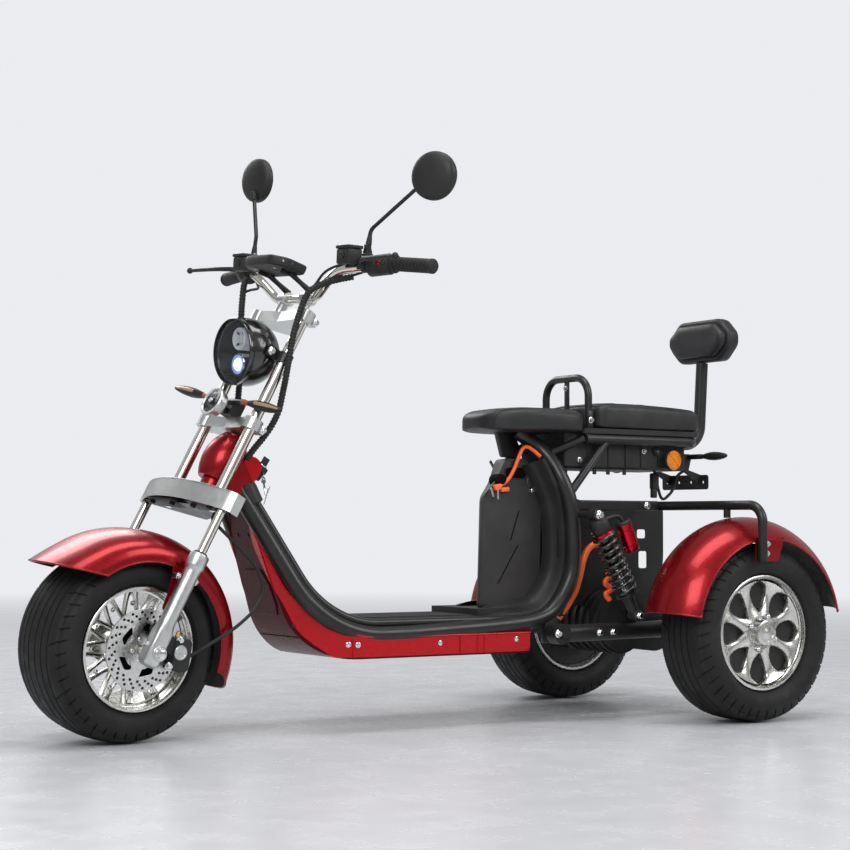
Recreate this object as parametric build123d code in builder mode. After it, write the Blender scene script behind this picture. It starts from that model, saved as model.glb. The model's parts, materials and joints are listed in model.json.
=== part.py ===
import os
from math import atan2, cos, degrees, radians, sin, sqrt, tan

from build123d import *

os.makedirs("parts", exist_ok=True)

# Driving sizes, in millimetres and degrees. The model is drawn from the ground under the
# middle of the rear axle: "ahead" is +X from there, left is +Y and up is +Z.
# Stance
wheelbase = 1553
rear_track = 781
origin_ahead = 741  # middle of the whole length, where the finished pieces have their origin
rake = 28  # of the steering axis, back from upright
fork_offset = 36  # axle in front of the steering axis, square to it
parked_steer = 7.5  # the front end stands turned this far to the left

# Fits
seat_gap = 0.2  # between a piece and what it sits on or in
axle_gap = 0.3  # round a wheel's axle
running_gap = 6  # between turning pieces and their neighbours

# Front wheel
front_tyre_radius = 217
front_tyre_width = 212
front_crown_radius = 420  # across the tread
front_lip_radius = 141
front_rim_width = 190
front_hub_radius = 44
disc_radius = 92
disc_thickness = 4
disc_left = 106  # middle of the brake disc from the wheel's middle plane

# Rear wheels
rear_tyre_radius = 224.5
rear_tyre_width = 180
rear_crown_radius = 520
rear_lip_radius = 145
rear_rim_width = 144
rear_spokes = 8
rear_hub_radius = 52
rear_cap_radius = 35
rear_cap_reach = 84  # outer end of the hub cap from the wheel's middle plane

# Rims
flange_height = 9
rim_wall = 6
axle_radius = 8
stub_radius = 15

# Fork, measured along the leg from the axle
leg_spread = 160  # half the distance between the lower legs
tube_spread = 95  # half the distance between the upper tubes
leg_ahead = 6
tube_ahead = -6
stanchion_radius = 11
upper_tube_radius = 13.5
slider_radius = 20
collar_radius = 23
slider_top = 241
collar_height = 34
slider_foot = 30  # below the axle
shroud_low = 352
shroud_height = 47
shroud_half = 190
shroud_bow = 55
shroud_front = 65
shroud_back = -20
shroud_wall = 4
mid_yoke_low = 567
top_clamp_low = 862
yoke_height = 28
stem_radius = 14
bar_up = 938  # handlebar's middle, along the fork
bar_ahead = -20

# Frame
tube_radius = 25
floor_up = 256  # main tubes' centre line along the floor
floor_half = 130  # main tubes from the middle plane
neck_half = 45
neck_back = 295  # tops of the main tubes behind the front axle
neck_up = 579
front_bend_back = 473
rear_bend_ahead = 334
loop_top_up = 704
loop_end_ahead = 590
front_bend_radius = 230
rear_bend_radius = 100
loop_radius = 240
head_radius = 28
head_low = 404
head_high = 562
cross_radius = 15

# Fairing and floor
belly_low = 174
belly_front_back = 419  # behind the front axle
belly_chin = 170  # rounding of its lower front
belly_nose_back = 291
belly_nose_up = 548
belly_rear = 500
belly_wall = 4
floor_wall = 8

# Battery
battery_half = 55
battery_low = 284
battery_front = 599
battery_rear = 393
battery_drop = 40  # its top below the loop's middle
battery_neck = 89  # height of the narrower top

# Seats
saddle_front = 604
saddle_rear = 310
saddle_lift = 28  # base above the loop's middle
saddle_thick = 61
saddle_half = 140
pillion_front = 288
pillion_rear = -98
pillion_lift = 28  # base above the rails' middle
pillion_thick = 64
pillion_half = 128
rail_radius = 14
rail_lift = 13  # above the loop's middle
rail_half = 118
rail_rear = -84
strut_radius = 10
hoop_ahead = 299
hoop_half = 98
hoop_rise = 148  # above the pillion's base
hoop_radius = 9
backrest_ahead = -205
backrest_lift = 231  # above the rails' middle
backrest_height = 118
backrest_half = 132
backrest_depth = 62
post_radius = 13

# Tail
tail_front = 352
tail_rear = -58
tail_half = 100
tail_share = 0.4843  # of the room between the deck's bars and the rails' middle
plate_ahead = -140
plate_half = 95
plate_drop = 48  # below the tail box
plate_height = 40
plate_hole_radius = 4
plate_pitch = 25

# Rear frame, suspension and fenders
deck_up = 545
deck_half = 100
deck_bar = 26
hoop_bar_ahead = 40
hoop_bar_radius = 12
hoop_drop = 404
fender_crown = 290
fender_wall = 3
fender_inner = 300
fender_outer = 489
fender_edge = 236  # radius of the fender's outer edge about the axle
fender_start = 11
fender_sweep = 157
housing_radius = 34
housing_half = 296
drum_radius = 84
drum_depth = 20
motor_radius = 92
motor_half = 88
arm_half = 172
arm_radius = 22
arm_pivot_ahead = 430
arm_up = 219
shock_half = 205
shock_top = (336, 519)  # ahead, up
shock_foot = (206, 262)
spring_radius = 27
spring_wire = 4.5
spring_turns = 9

# What follows from them
neck_ahead = wheelbase - neck_back
front_bend_ahead = wheelbase - front_bend_back
belly_front = wheelbase - belly_front_back
belly_nose_ahead = wheelbase - belly_nose_back
battery_high = loop_top_up - battery_drop
battery_shoulder = battery_high - battery_neck
saddle_low = loop_top_up + saddle_lift
rail_up = loop_top_up + rail_lift
pillion_low = rail_up + pillion_lift
hoop_high = pillion_low + hoop_rise
backrest_low = rail_up + backrest_lift
tail_depth = tail_share * (rail_up - deck_up - deck_bar / 2)
tail_low = rail_up - tail_depth
plate_low = tail_low - plate_drop
front_axle_up = (
    front_tyre_radius
    + (front_crown_radius - front_tyre_radius) * (1 - cos(radians(parked_steer) * sin(radians(rake))))
    + fork_offset * (1 - cos(radians(parked_steer))) * sin(radians(rake))
)
rake_sin = sin(radians(rake))
rake_cos = cos(radians(rake))
fork = Plane(
    origin=(wheelbase, 0, front_axle_up), x_dir=(rake_cos, 0, rake_sin), z_dir=(-rake_sin, 0, rake_cos)
)
steering_foot = fork.from_local_coords((-fork_offset, 0, 0))
steering_axis = Axis(steering_foot, fork.z_dir)
front_spin = Axis((wheelbase, 0, front_axle_up), (0, 1, 0))
rear_spin = Axis((0, 0, rear_tyre_radius), (0, 1, 0))


def write(piece, label, turned=False):
    # The front end is drawn straight ahead and written as it stands parked.
    solid = piece.part.rotate(steering_axis, parked_steer) if turned else piece.part
    solid = solid.moved(Location((-origin_ahead, 0, 0)))
    solid.label = label
    export_step(solid, f"parts/{label}.step")


def bar(points, radius, corners=None):
    # A round bar along straight runs, with an arc at each corner.
    with BuildLine() as route:
        if corners is None:
            Line(*points)
        else:
            FilletPolyline(*points, radius=corners)
    with BuildSketch(Plane(origin=route.line @ 0, z_dir=route.line % 0)) as section:
        Circle(radius)
    sweep(section.sketch, path=route.line)


def disc(axis_point, direction, radius, length):
    # A round boss from a point along a direction.
    with BuildSketch(Plane(origin=axis_point, z_dir=direction)) as face:
        Circle(radius)
    extrude(face.sketch, amount=length)


def fore(back, left, up):
    # A point given by its distance behind the front axle.
    return (wheelbase - back, left, up)


def side(half):
    # The upright plane at a distance to the left, looked at from the right.
    return Plane(origin=(0, half, 0), x_dir=(1, 0, 0), z_dir=(0, -1, 0))


def wheel_section(ahead, left, up):
    # Across a wheel: x runs to the left from its middle plane and y out from its axle.
    return Plane(origin=(ahead, left, up), x_dir=(0, 1, 0), z_dir=(1, 0, 0))


def wheel_face(ahead, left, up):
    # A wheel's plane, looked at from the left.
    return Plane(origin=(ahead, left, up), x_dir=(-1, 0, 0), z_dir=(0, 1, 0))


def tyre(section, spin, radius, width, crown, lip, rim_width):
    bead = rim_width / 2 - rim_wall - seat_gap
    seat = lip - flange_height + seat_gap
    shoulder = 0.41 * width
    drop = crown - sqrt(crown**2 - shoulder**2)
    swell = (radius + lip) / 2 - 8
    with BuildSketch(section) as profile:
        with BuildLine():
            Polyline((-bead, lip + 2), (-bead, seat), (bead, seat), (bead, lip + 2))
            ThreePointArc((bead, lip + 2), (width / 2, swell), (shoulder, radius - drop - 9))
            ThreePointArc(
                (shoulder, radius - drop - 9), (shoulder - 2.5, radius - drop - 3), (shoulder - 9, radius - drop)
            )
            ThreePointArc((shoulder - 9, radius - drop), (0, radius), (9 - shoulder, radius - drop))
            ThreePointArc(
                (9 - shoulder, radius - drop), (2.5 - shoulder, radius - drop - 3), (-shoulder, radius - drop - 9)
            )
            ThreePointArc((-shoulder, radius - drop - 9), (-width / 2, swell), (-bead, lip + 2))
        make_face()
    revolve(profile.sketch, axis=spin)


def barrel(section, spin, lip, rim_width):
    # The rim's well with a flange at each edge.
    half = rim_width / 2
    seat = lip - flange_height
    with BuildSketch(section) as profile:
        with BuildLine():
            Polyline(
                (-half, lip), (-half + rim_wall, lip), (-half + rim_wall, seat),
                (half - rim_wall, seat), (half - rim_wall, lip), (half, lip),
                (half, lip - rim_wall), (half - 2 * rim_wall, seat - rim_wall),
                (2 * rim_wall - half, seat - rim_wall), (-half, lip - rim_wall), close=True,
            )
        make_face()
    revolve(profile.sketch, axis=spin)


# Front wheel
front_section = wheel_section(wheelbase, 0, front_axle_up)
with BuildPart() as front_tyre:
    tyre(front_section, front_spin, front_tyre_radius, front_tyre_width, front_crown_radius,
         front_lip_radius, front_rim_width)
write(front_tyre, "front_tyre", turned=True)

mesh_spokes = 12
mesh_skew = 26
mesh_width = 9
mesh_left = 42
mesh_depth = 14
front_well = front_lip_radius - flange_height - rim_wall / 2
with BuildPart() as front_rim:
    barrel(front_section, front_spin, front_lip_radius, front_rim_width)
    with BuildSketch(wheel_face(wheelbase, mesh_left, front_axle_up)) as mesh:
        for lean in (-mesh_skew, mesh_skew):
            for turn in range(mesh_spokes):
                angle = radians(360 * turn / mesh_spokes)
                tip = angle + radians(lean)
                with BuildLine() as spoke:
                    Line(
                        ((front_hub_radius - 4) * cos(angle), (front_hub_radius - 4) * sin(angle)),
                        (front_well * cos(tip), front_well * sin(tip)),
                    )
                trace(spoke.line, line_width=mesh_width)
    extrude(mesh.sketch, amount=mesh_depth)
    with BuildSketch(wheel_face(wheelbase, -front_rim_width / 2 + 20, front_axle_up)) as hub:
        Circle(front_hub_radius)
    extrude(hub.sketch, amount=disc_left - disc_thickness / 2 - seat_gap + front_rim_width / 2 - 20)
    with BuildSketch(wheel_face(wheelbase, -front_rim_width / 2, front_axle_up)) as bearing:
        Circle(axle_radius + axle_gap)
    extrude(bearing.sketch, amount=2 * front_rim_width, mode=Mode.SUBTRACT)
write(front_rim, "front_rim", turned=True)

disc_windows = 6
disc_holes = 18
disc_hole_radius = 4.5
with BuildPart() as brake_disc:
    with BuildSketch(wheel_face(wheelbase, disc_left - disc_thickness / 2, front_axle_up)) as rotor:
        Circle(disc_radius)
        Circle(axle_radius + running_gap, mode=Mode.SUBTRACT)
        with PolarLocations(disc_radius - 13, disc_holes):
            Circle(disc_hole_radius, mode=Mode.SUBTRACT)
        with PolarLocations((disc_radius + front_hub_radius) / 2 - 9, disc_windows):
            SlotOverall(26, 10, rotation=90, mode=Mode.SUBTRACT)
    extrude(rotor.sketch, amount=disc_thickness)
write(brake_disc, "brake_disc", turned=True)

# Rear wheels, one drawing for each side
window_in = 62
window_out = rear_lip_radius - flange_height - rim_wall - 11
window_round = 10
spoke_face = 34  # inner face of the spokes from the wheel's middle plane
spoke_depth = 16
for hand, label in ((1, "left"), (-1, "right")):
    wheel_left = hand * rear_track / 2
    rear_section = wheel_section(0, wheel_left, rear_tyre_radius)
    face = Plane(
        origin=(0, wheel_left + hand * spoke_face, rear_tyre_radius), x_dir=(-hand, 0, 0), z_dir=(0, hand, 0)
    )
    with BuildPart() as rear_tyre:
        tyre(rear_section, rear_spin, rear_tyre_radius, rear_tyre_width, rear_crown_radius,
             rear_lip_radius, rear_rim_width)
    write(rear_tyre, f"{label}_tyre")

    with BuildSketch(mode=Mode.PRIVATE) as window:
        near = radians(180 / rear_spokes - 9)
        far = radians(180 / rear_spokes - 7)
        with BuildLine():
            Polyline(
                (window_in * cos(near), -window_in * sin(near)), (window_out * cos(far), -window_out * sin(far)),
                (window_out * cos(far), window_out * sin(far)), (window_in * cos(near), window_in * sin(near)),
                close=True,
            )
        make_face()
        fillet(window.vertices(), radius=window_round)
    with BuildPart() as rear_rim:
        barrel(rear_section, rear_spin, rear_lip_radius, rear_rim_width)
        with BuildSketch(face) as star:
            Circle(rear_lip_radius - flange_height - rim_wall / 2)
            with PolarLocations(0, rear_spokes):
                add(window.sketch, mode=Mode.SUBTRACT)
        extrude(star.sketch, amount=spoke_depth)
        with BuildSketch(face.offset(-60)) as hub:
            Circle(rear_hub_radius)
        extrude(hub.sketch, amount=60 + spoke_depth + 6)
        with BuildSketch(face.offset(spoke_depth)) as cap:
            Circle(rear_cap_radius)
        extrude(cap.sketch, amount=rear_cap_reach - spoke_face - spoke_depth, taper=6)
        fillet(rear_rim.faces().sort_by(Axis((0, 0, 0), (0, hand, 0)))[-1].edges(), radius=6)
        with BuildSketch(face.offset(-70)) as bore:
            Circle(stub_radius + axle_gap)
        extrude(bore.sketch, amount=70 + spoke_depth, mode=Mode.SUBTRACT)
    write(rear_rim, f"{label}_rim")

# Fork
slider_plane = fork.offset(-slider_foot)
with BuildPart() as fork_sliders:
    for hand in (1, -1):
        with BuildSketch(slider_plane) as leg:
            with Locations((leg_ahead, hand * leg_spread)):
                Circle(slider_radius)
        extrude(leg.sketch, amount=slider_foot + slider_top - collar_height)
        with BuildSketch(fork.offset(slider_top - collar_height)) as collar:
            with Locations((leg_ahead, hand * leg_spread)):
                Circle(collar_radius)
        extrude(collar.sketch, amount=collar_height)
        with BuildSketch(wheel_face(wheelbase, hand * leg_spread - slider_radius, front_axle_up)) as lug:
            Circle(axle_radius + 12)
        extrude(lug.sketch, amount=2 * slider_radius)
        with BuildSketch(wheel_face(wheelbase, hand * leg_spread - 2 * slider_radius, front_axle_up)) as hole:
            Circle(axle_radius + seat_gap)
        extrude(hole.sketch, amount=4 * slider_radius, mode=Mode.SUBTRACT)
        with BuildSketch(fork.offset(slider_top - 2 * collar_height)) as socket:
            with Locations((leg_ahead, hand * leg_spread)):
                Circle(stanchion_radius + seat_gap)
        extrude(socket.sketch, amount=2 * collar_height, mode=Mode.SUBTRACT)
    chamfer(fork_sliders.edges().group_by(Axis(fork.origin, fork.z_dir))[0], length=6)
write(fork_sliders, "fork_sliders", turned=True)

yoke_low = shroud_low + shroud_wall + seat_gap
lower_yoke_height = shroud_height - 2 * shroud_wall - 2 * seat_gap
with BuildPart() as fork_tubes:
    for hand in (1, -1):
        with BuildSketch(fork.offset(slider_top - 2 * collar_height + seat_gap)) as stanchion:
            with Locations((leg_ahead, hand * leg_spread)):
                Circle(stanchion_radius)
        extrude(stanchion.sketch, amount=yoke_low + lower_yoke_height - slider_top + 2 * collar_height)
        with BuildSketch(fork.offset(yoke_low + seat_gap)) as upper:
            with Locations((tube_ahead, hand * tube_spread)):
                Circle(upper_tube_radius)
        extrude(upper.sketch, amount=top_clamp_low + yoke_height - yoke_low - seat_gap)
write(fork_tubes, "fork_tubes", turned=True)

stem_bearing = 2
stem_top = mid_yoke_low + yoke_height
with BuildPart() as steering_stem:
    with BuildSketch(fork.offset(yoke_low)) as plate:
        with Locations((-fork_offset, 0)):
            Circle(stem_radius + 14)
        with Locations((leg_ahead, leg_spread), (leg_ahead, -leg_spread)):
            Circle(stanchion_radius + 2)
        with Locations((tube_ahead, tube_spread), (tube_ahead, -tube_spread)):
            Circle(upper_tube_radius + 8)
        make_hull()
        with Locations((leg_ahead, leg_spread), (leg_ahead, -leg_spread)):
            Circle(stanchion_radius + seat_gap, mode=Mode.SUBTRACT)
        with Locations((tube_ahead, tube_spread), (tube_ahead, -tube_spread)):
            Circle(upper_tube_radius + seat_gap, mode=Mode.SUBTRACT)
    extrude(plate.sketch, amount=lower_yoke_height)
    with BuildSketch(fork.offset(yoke_low)) as stem:
        with Locations((-fork_offset, 0)):
            Circle(stem_radius)
    extrude(stem.sketch, amount=stem_top - yoke_low)
    for low in (head_low, head_high - 16):
        with BuildSketch(fork.offset(low)) as journal:
            with Locations((-fork_offset, 0)):
                Circle(stem_radius + stem_bearing)
        extrude(journal.sketch, amount=16)
    with BuildSketch(fork.offset(stem_top + seat_gap)) as nut:
        with Locations((-fork_offset, 0)):
            RegularPolygon(stem_radius + 5, 6)
    extrude(nut.sketch, amount=10)
    with BuildSketch(fork.offset(stem_top - seat_gap)) as thread:
        with Locations((-fork_offset, 0)):
            Circle(stem_radius)
    extrude(thread.sketch, amount=3)
write(steering_stem, "steering_stem", turned=True)


def shroud_outline(inset):
    # Seen along the fork: a bowed front, square ends and a straight open back.
    with BuildLine() as edge:
        Polyline(
            (shroud_front - shroud_bow - inset, -(shroud_half - inset)), (shroud_back, -(shroud_half - inset)),
            (shroud_back, shroud_half - inset), (shroud_front - shroud_bow - inset, shroud_half - inset),
        )
        ThreePointArc(
            (shroud_front - shroud_bow - inset, shroud_half - inset), (shroud_front - inset, 0),
            (shroud_front - shroud_bow - inset, -(shroud_half - inset)),
        )
    make_face(edge.edges())


with BuildPart() as fork_shroud:
    with BuildSketch(fork.offset(shroud_low)) as outside:
        shroud_outline(0)
    extrude(outside.sketch, amount=shroud_height)
    fillet(fork_shroud.edges().filter_by(GeomType.CIRCLE), radius=3)
    with BuildSketch(fork.offset(shroud_low + shroud_wall)) as inside:
        shroud_outline(shroud_wall)
    extrude(inside.sketch, amount=shroud_height - 2 * shroud_wall, mode=Mode.SUBTRACT)
    for hand in (1, -1):
        with BuildSketch(fork.offset(shroud_low - 1)) as leg_hole:
            with Locations((leg_ahead, hand * leg_spread)):
                Circle(stanchion_radius + 1.5)
        extrude(leg_hole.sketch, amount=shroud_height / 2, mode=Mode.SUBTRACT)
        with BuildSketch(fork.offset(shroud_low + shroud_height / 2)) as tube_hole:
            with Locations((tube_ahead, hand * tube_spread)):
                Circle(upper_tube_radius + 1.5)
        extrude(tube_hole.sketch, amount=shroud_height, mode=Mode.SUBTRACT)
write(fork_shroud, "fork_shroud", turned=True)

yoke_boss = upper_tube_radius + 9
riser_half = 46
riser_radius = 13
bar_radius = 11
with BuildPart() as fork_yokes:
    for low in (mid_yoke_low, top_clamp_low):
        with BuildSketch(fork.offset(low)) as yoke:
            with Locations((tube_ahead, tube_spread), (tube_ahead, -tube_spread)):
                Circle(yoke_boss)
            with BuildLine():
                Polyline(
                    (tube_ahead + yoke_boss - 6, tube_spread), (tube_ahead + yoke_boss - 14, 0),
                    (tube_ahead + yoke_boss - 6, -tube_spread), (tube_ahead - yoke_boss + 6, -tube_spread),
                    (-fork_offset - stem_radius - 10, -30), (-fork_offset - stem_radius - 10, 30),
                    (tube_ahead - yoke_boss + 6, tube_spread), close=True,
                )
            make_face()
            with Locations((tube_ahead, tube_spread), (tube_ahead, -tube_spread)):
                Circle(upper_tube_radius + seat_gap, mode=Mode.SUBTRACT)
            if low == mid_yoke_low:
                with Locations((-fork_offset, 0)):
                    Circle(stem_radius + seat_gap, mode=Mode.SUBTRACT)
        extrude(yoke.sketch, amount=yoke_height)
    for hand in (1, -1):
        with BuildSketch(fork.offset(top_clamp_low + yoke_height)) as riser:
            with Locations((bar_ahead, hand * riser_half)):
                Circle(riser_radius)
        extrude(riser.sketch, amount=bar_up - top_clamp_low - yoke_height + 6)
        clamp_at = fork.from_local_coords((bar_ahead, hand * riser_half - 15, bar_up))
        disc(clamp_at, (0, 1, 0), bar_radius + 7, 30)
    bar_middle = fork.from_local_coords((bar_ahead, -2 * riser_half, bar_up))
    with BuildSketch(Plane(origin=bar_middle, z_dir=(0, 1, 0))) as bar_hole:
        Circle(bar_radius + seat_gap)
    extrude(bar_hole.sketch, amount=4 * riser_half, mode=Mode.SUBTRACT)
write(fork_yokes, "fork_yokes", turned=True)

# Handlebar and what is on it. Points here are behind the front axle, left and up.
bar_centre = fork.from_local_coords((bar_ahead, 0, bar_up))
grip_start = fore(511, 302, 1115)
grip_end = fore(533, 424, 1106)
bend_out = fore(450, 165, 1100)
bar_points = [grip_end, grip_start, bend_out, (bar_centre.X, 78, bar_centre.Z)]
bar_route = [(x, y, z) for x, y, z in bar_points] + [(x, -y, z) for x, y, z in reversed(bar_points)]
with BuildPart() as handlebar:
    bar(bar_route, bar_radius, corners=[120, 90, 60, 60, 90, 120])
write(handlebar, "handlebar", turned=True)

with BuildPart() as bar_room:
    bar(bar_route, bar_radius + seat_gap, corners=[120, 90, 60, 60, 90, 120])

grip_radius = 17
grip_line = Vector(*grip_end) - Vector(*grip_start)
with BuildPart() as grips:
    for hand in (1, -1):
        start = Vector(grip_start[0], hand * grip_start[1], grip_start[2])
        along = Vector(grip_line.X, hand * grip_line.Y, grip_line.Z)
        begin = start + along * 0.06
        disc(begin, along, grip_radius, grip_line.length * 0.94 + 4)
        disc(begin - along * 0.02, along, grip_radius + 5, 6)
        with BuildSketch(Plane(origin=begin - along * 0.1, z_dir=along)) as core:
            Circle(bar_radius + seat_gap)
        extrude(core.sketch, amount=grip_line.length * 1.04 + seat_gap, mode=Mode.SUBTRACT)
    add(bar_room.part, mode=Mode.SUBTRACT)
write(grips, "grips", turned=True)

switch_length = 46
switch_radius = 21
lever_route = [fore(471, 238, 1114), fore(441, 262, 1119), fore(425, 330, 1120), fore(420, 424, 1120)]
mirror_foot = fore(487, 236, 1146)
with BuildPart() as bar_controls:
    for hand in (1, -1):
        start = Vector(grip_start[0], hand * grip_start[1], grip_start[2])
        inward = Vector(bend_out[0], hand * bend_out[1], bend_out[2]) - start
        disc(start + inward * 0.02, inward, switch_radius, switch_length)
        disc(start + inward * 0.36, inward, bar_radius + 6, 30)
        route = [(x, hand * y, z) for x, y, z in lever_route]
        disc(Vector(*route[0]) - Vector(0, 0, 12), (0, 0, 1), 13, 24)
        bar(route, 5, corners=[20, 60])
        disc(Vector(*route[-1]) - Vector(0, 0, 3), (0, 0, 1), 8, 6)
        with BuildSketch(Plane(origin=fore(449, hand * 216, 1122))) as cup:
            RectangleRounded(44, 52, 8)
        extrude(cup.sketch, amount=34, taper=4)
        disc(fore(465, hand * 226, 1106), (0, 0, 1), 14, 24)
        disc((mirror_foot[0], hand * mirror_foot[1], mirror_foot[2] - 40), (0, 0, 1), 11, 40)
    add(bar_room.part, mode=Mode.SUBTRACT)
write(bar_controls, "bar_controls", turned=True)

# Mirrors as they are set: hand, bend of the stalk, centre of the head and turn of its back to the left.
mirror_radius = 56
mirror_depth = 26
mirror_stalk_radius = 5
mirror_table = [
    (1, fore(491, 240, 1196), fore(507, 440, 1309), 22),
    (-1, fore(491, -232, 1206), fore(507, -268, 1352), 4),
]
with BuildPart() as mirrors:
    for hand, bend, centre, turn in mirror_table:
        foot = Vector(mirror_foot[0], hand * mirror_foot[1], mirror_foot[2] + seat_gap)
        back = Vector(cos(radians(turn)), sin(radians(turn)), 0)
        rim_plane = Plane(origin=Vector(*centre) - back * mirror_depth / 2, z_dir=back)
        toward = (Vector(*bend) - Vector(*centre)).normalized()
        joint = Vector(*centre) + toward * (mirror_radius - 14)
        bar([foot + Vector(0, 0, 4), bend, joint], mirror_stalk_radius, corners=[22])
        with BuildSketch(rim_plane) as rim:
            Circle(mirror_radius)
        extrude(rim.sketch, amount=12)
        with BuildSketch(rim_plane.offset(12)) as dome:
            Circle(mirror_radius)
        extrude(dome.sketch, amount=mirror_depth - 12, taper=40)
        disc(foot, (0, 0, 1), 9, 14)
write(mirrors, "mirrors", turned=True)

display_centre = fore(385, 0, 1112)
display_tilt = 14
display_plane = Plane(
    origin=display_centre, x_dir=(cos(radians(display_tilt)), 0, sin(radians(display_tilt))),
    z_dir=(-sin(radians(display_tilt)), 0, cos(radians(display_tilt))),
)
display_long = 96
display_wide = 168
display_thick = 24
with BuildPart() as display:
    with BuildSketch(display_plane.offset(-display_thick / 2)) as case:
        RectangleRounded(display_long, display_wide, 12)
    extrude(case.sketch, amount=display_thick)
    chamfer(display.faces().sort_by(Axis(display_plane.origin, display_plane.z_dir))[-1].edges(), length=4)
    with BuildSketch(display_plane.offset(display_thick / 2 - 2)) as glass:
        RectangleRounded(display_long - 28, display_wide - 40, 6)
    extrude(glass.sketch, amount=4, mode=Mode.SUBTRACT)
    for hand in (1, -1):
        clamp_at = fork.from_local_coords((bar_ahead, hand * riser_half, bar_up + bar_radius + 7 + seat_gap))
        with BuildSketch(Plane(origin=clamp_at, x_dir=fork.x_dir, z_dir=fork.z_dir)) as foot:
            Rectangle(20, 18)
        extrude(foot.sketch, amount=6)
        bar([clamp_at + fork.z_dir * 5, display_plane.from_local_coords((-20, hand * riser_half, 0))], 4)
write(display, "display", turned=True)

# Headlamp
lamp_radius = 78
lamp_up = 900
lamp_front = wheelbase - 297
lamp_back = wheelbase - 410
lamp_wall = 4
lamp_plane = Plane(origin=(0, 0, lamp_up), x_dir=(1, 0, 0), z_dir=(0, -1, 0))
lamp_axis = Axis((0, 0, lamp_up), (1, 0, 0))
bowl_depth = lamp_front - 14 - lamp_back
bowl_sphere = (lamp_radius**2 + bowl_depth**2) / (2 * bowl_depth)
bowl_middle = lamp_back + bowl_sphere
bowl_angle = 180 - degrees(atan2(lamp_radius, bowl_depth - bowl_sphere))
with BuildPart() as headlamp_bowl:
    with BuildSketch(lamp_plane) as shell:
        with BuildLine():
            outer = CenterArc((bowl_middle, 0), bowl_sphere, 180, -bowl_angle)
            Polyline(
                outer @ 1, (lamp_front - 14, lamp_radius + 2), (lamp_front, lamp_radius + 2),
                (lamp_front, lamp_radius - lamp_wall), (lamp_front - 14, lamp_radius - lamp_wall),
            )
            inner = CenterArc((bowl_middle, 0), bowl_sphere - lamp_wall, 180, -bowl_angle)
            Line((lamp_front - 14, lamp_radius - lamp_wall), inner @ 1)
            Line(inner @ 0, outer @ 0)
        make_face()
    revolve(shell.sketch, axis=lamp_axis)
write(headlamp_bowl, "headlamp_bowl", turned=True)

lens_seat = lamp_radius - lamp_wall - seat_gap
lens_bulge = 20
lens_sphere = (lens_seat**2 + lens_bulge**2) / (2 * lens_bulge)
with BuildPart() as headlamp_lens:
    with BuildSketch(lamp_plane) as lens:
        with BuildLine():
            dome = CenterArc(
                (lamp_front - 4 + lens_bulge - lens_sphere, 0), lens_sphere, 0,
                degrees(atan2(lens_seat, lens_sphere - lens_bulge)),
            )
            Polyline(dome @ 1, (lamp_front - 12, lens_seat), (lamp_front - 12, 0), dome @ 0)
        make_face()
    revolve(lens.sketch, axis=lamp_axis)
write(headlamp_lens, "headlamp_lens", turned=True)

lamp_bolt_up = 759
lamp_bolt_ahead = 25
ring_radius = upper_tube_radius + 5
ring_height = 26
horn_ahead = 54
horn_up = 604
horn_radius = 37
horn_depth = 26
signal_ahead = 30
signal_up = 627
signal_start = 62
signal_end = 192
with BuildPart() as lamp_bracket:
    for hand in (1, -1):
        with BuildSketch(fork.offset(lamp_bolt_up - ring_height / 2)) as ring:
            with Locations((tube_ahead, hand * tube_spread)):
                Circle(ring_radius)
            with Locations((tube_ahead + ring_radius + 12, hand * (tube_spread - 6))):
                Rectangle(lamp_bolt_ahead + 12, 6)
            with Locations((tube_ahead, hand * tube_spread)):
                Circle(upper_tube_radius + seat_gap, mode=Mode.SUBTRACT)
        extrude(ring.sketch, amount=ring_height)
        bolt = fork.from_local_coords((lamp_bolt_ahead, hand * (tube_spread - 6), lamp_bolt_up))
        bowl_here = sqrt(bowl_sphere**2 - (bolt.X - bowl_middle) ** 2 - (bolt.Z - lamp_up) ** 2)
        disc(bolt, (0, -hand, 0), 8, tube_spread - 6 - bowl_here - seat_gap)
    with BuildSketch(fork.offset(stem_top + seat_gap)) as post:
        with Locations((signal_ahead - 26, 0)):
            Rectangle(34, 40)
    extrude(post.sketch, amount=signal_up - stem_top + 8)
    stay_start = fork.from_local_coords((signal_ahead - 10, -signal_start, signal_up))
    disc(stay_start, (0, 1, 0), 7, 2 * signal_start)
    horn_back = fork.from_local_coords((horn_ahead - horn_depth / 2 - seat_gap, 0, horn_up))
    disc(horn_back, -fork.x_dir, 9, 24)
write(lamp_bracket, "lamp_bracket", turned=True)

with BuildPart() as horn:
    horn_face = fork.from_local_coords((horn_ahead - horn_depth / 2, 0, horn_up))
    with BuildSketch(Plane(origin=horn_face, z_dir=fork.x_dir)) as drum:
        Circle(horn_radius - 5)
    extrude(drum.sketch, amount=horn_depth)
    with BuildSketch(Plane(origin=horn_face, z_dir=fork.x_dir).offset(horn_depth - 8)) as rim:
        Circle(horn_radius)
    extrude(rim.sketch, amount=8)
    with BuildSketch(Plane(origin=horn_face, z_dir=fork.x_dir).offset(horn_depth - 4)) as dish:
        Circle(horn_radius - 7)
        Circle(9, mode=Mode.SUBTRACT)
    extrude(dish.sketch, amount=6, mode=Mode.SUBTRACT)
write(horn, "horn", turned=True)


signal_neck = 7
signal_belly = 15


def signal(root, out, length):
    # A turned lamp, full in the middle, on a short rubber neck.
    neck_end = 0.2 * length
    with BuildSketch(Plane(origin=root, x_dir=out, z_dir=(1, 0, 0))) as half:
        with BuildLine():
            Polyline((length, 5), (length, 0), (0, 0), (0, signal_neck), (neck_end, signal_neck), (neck_end, 9))
            ThreePointArc((neck_end, 9), (0.55 * length, signal_belly), (length, 5))
        make_face()
    revolve(half.sketch, axis=Axis(root, out))


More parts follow.
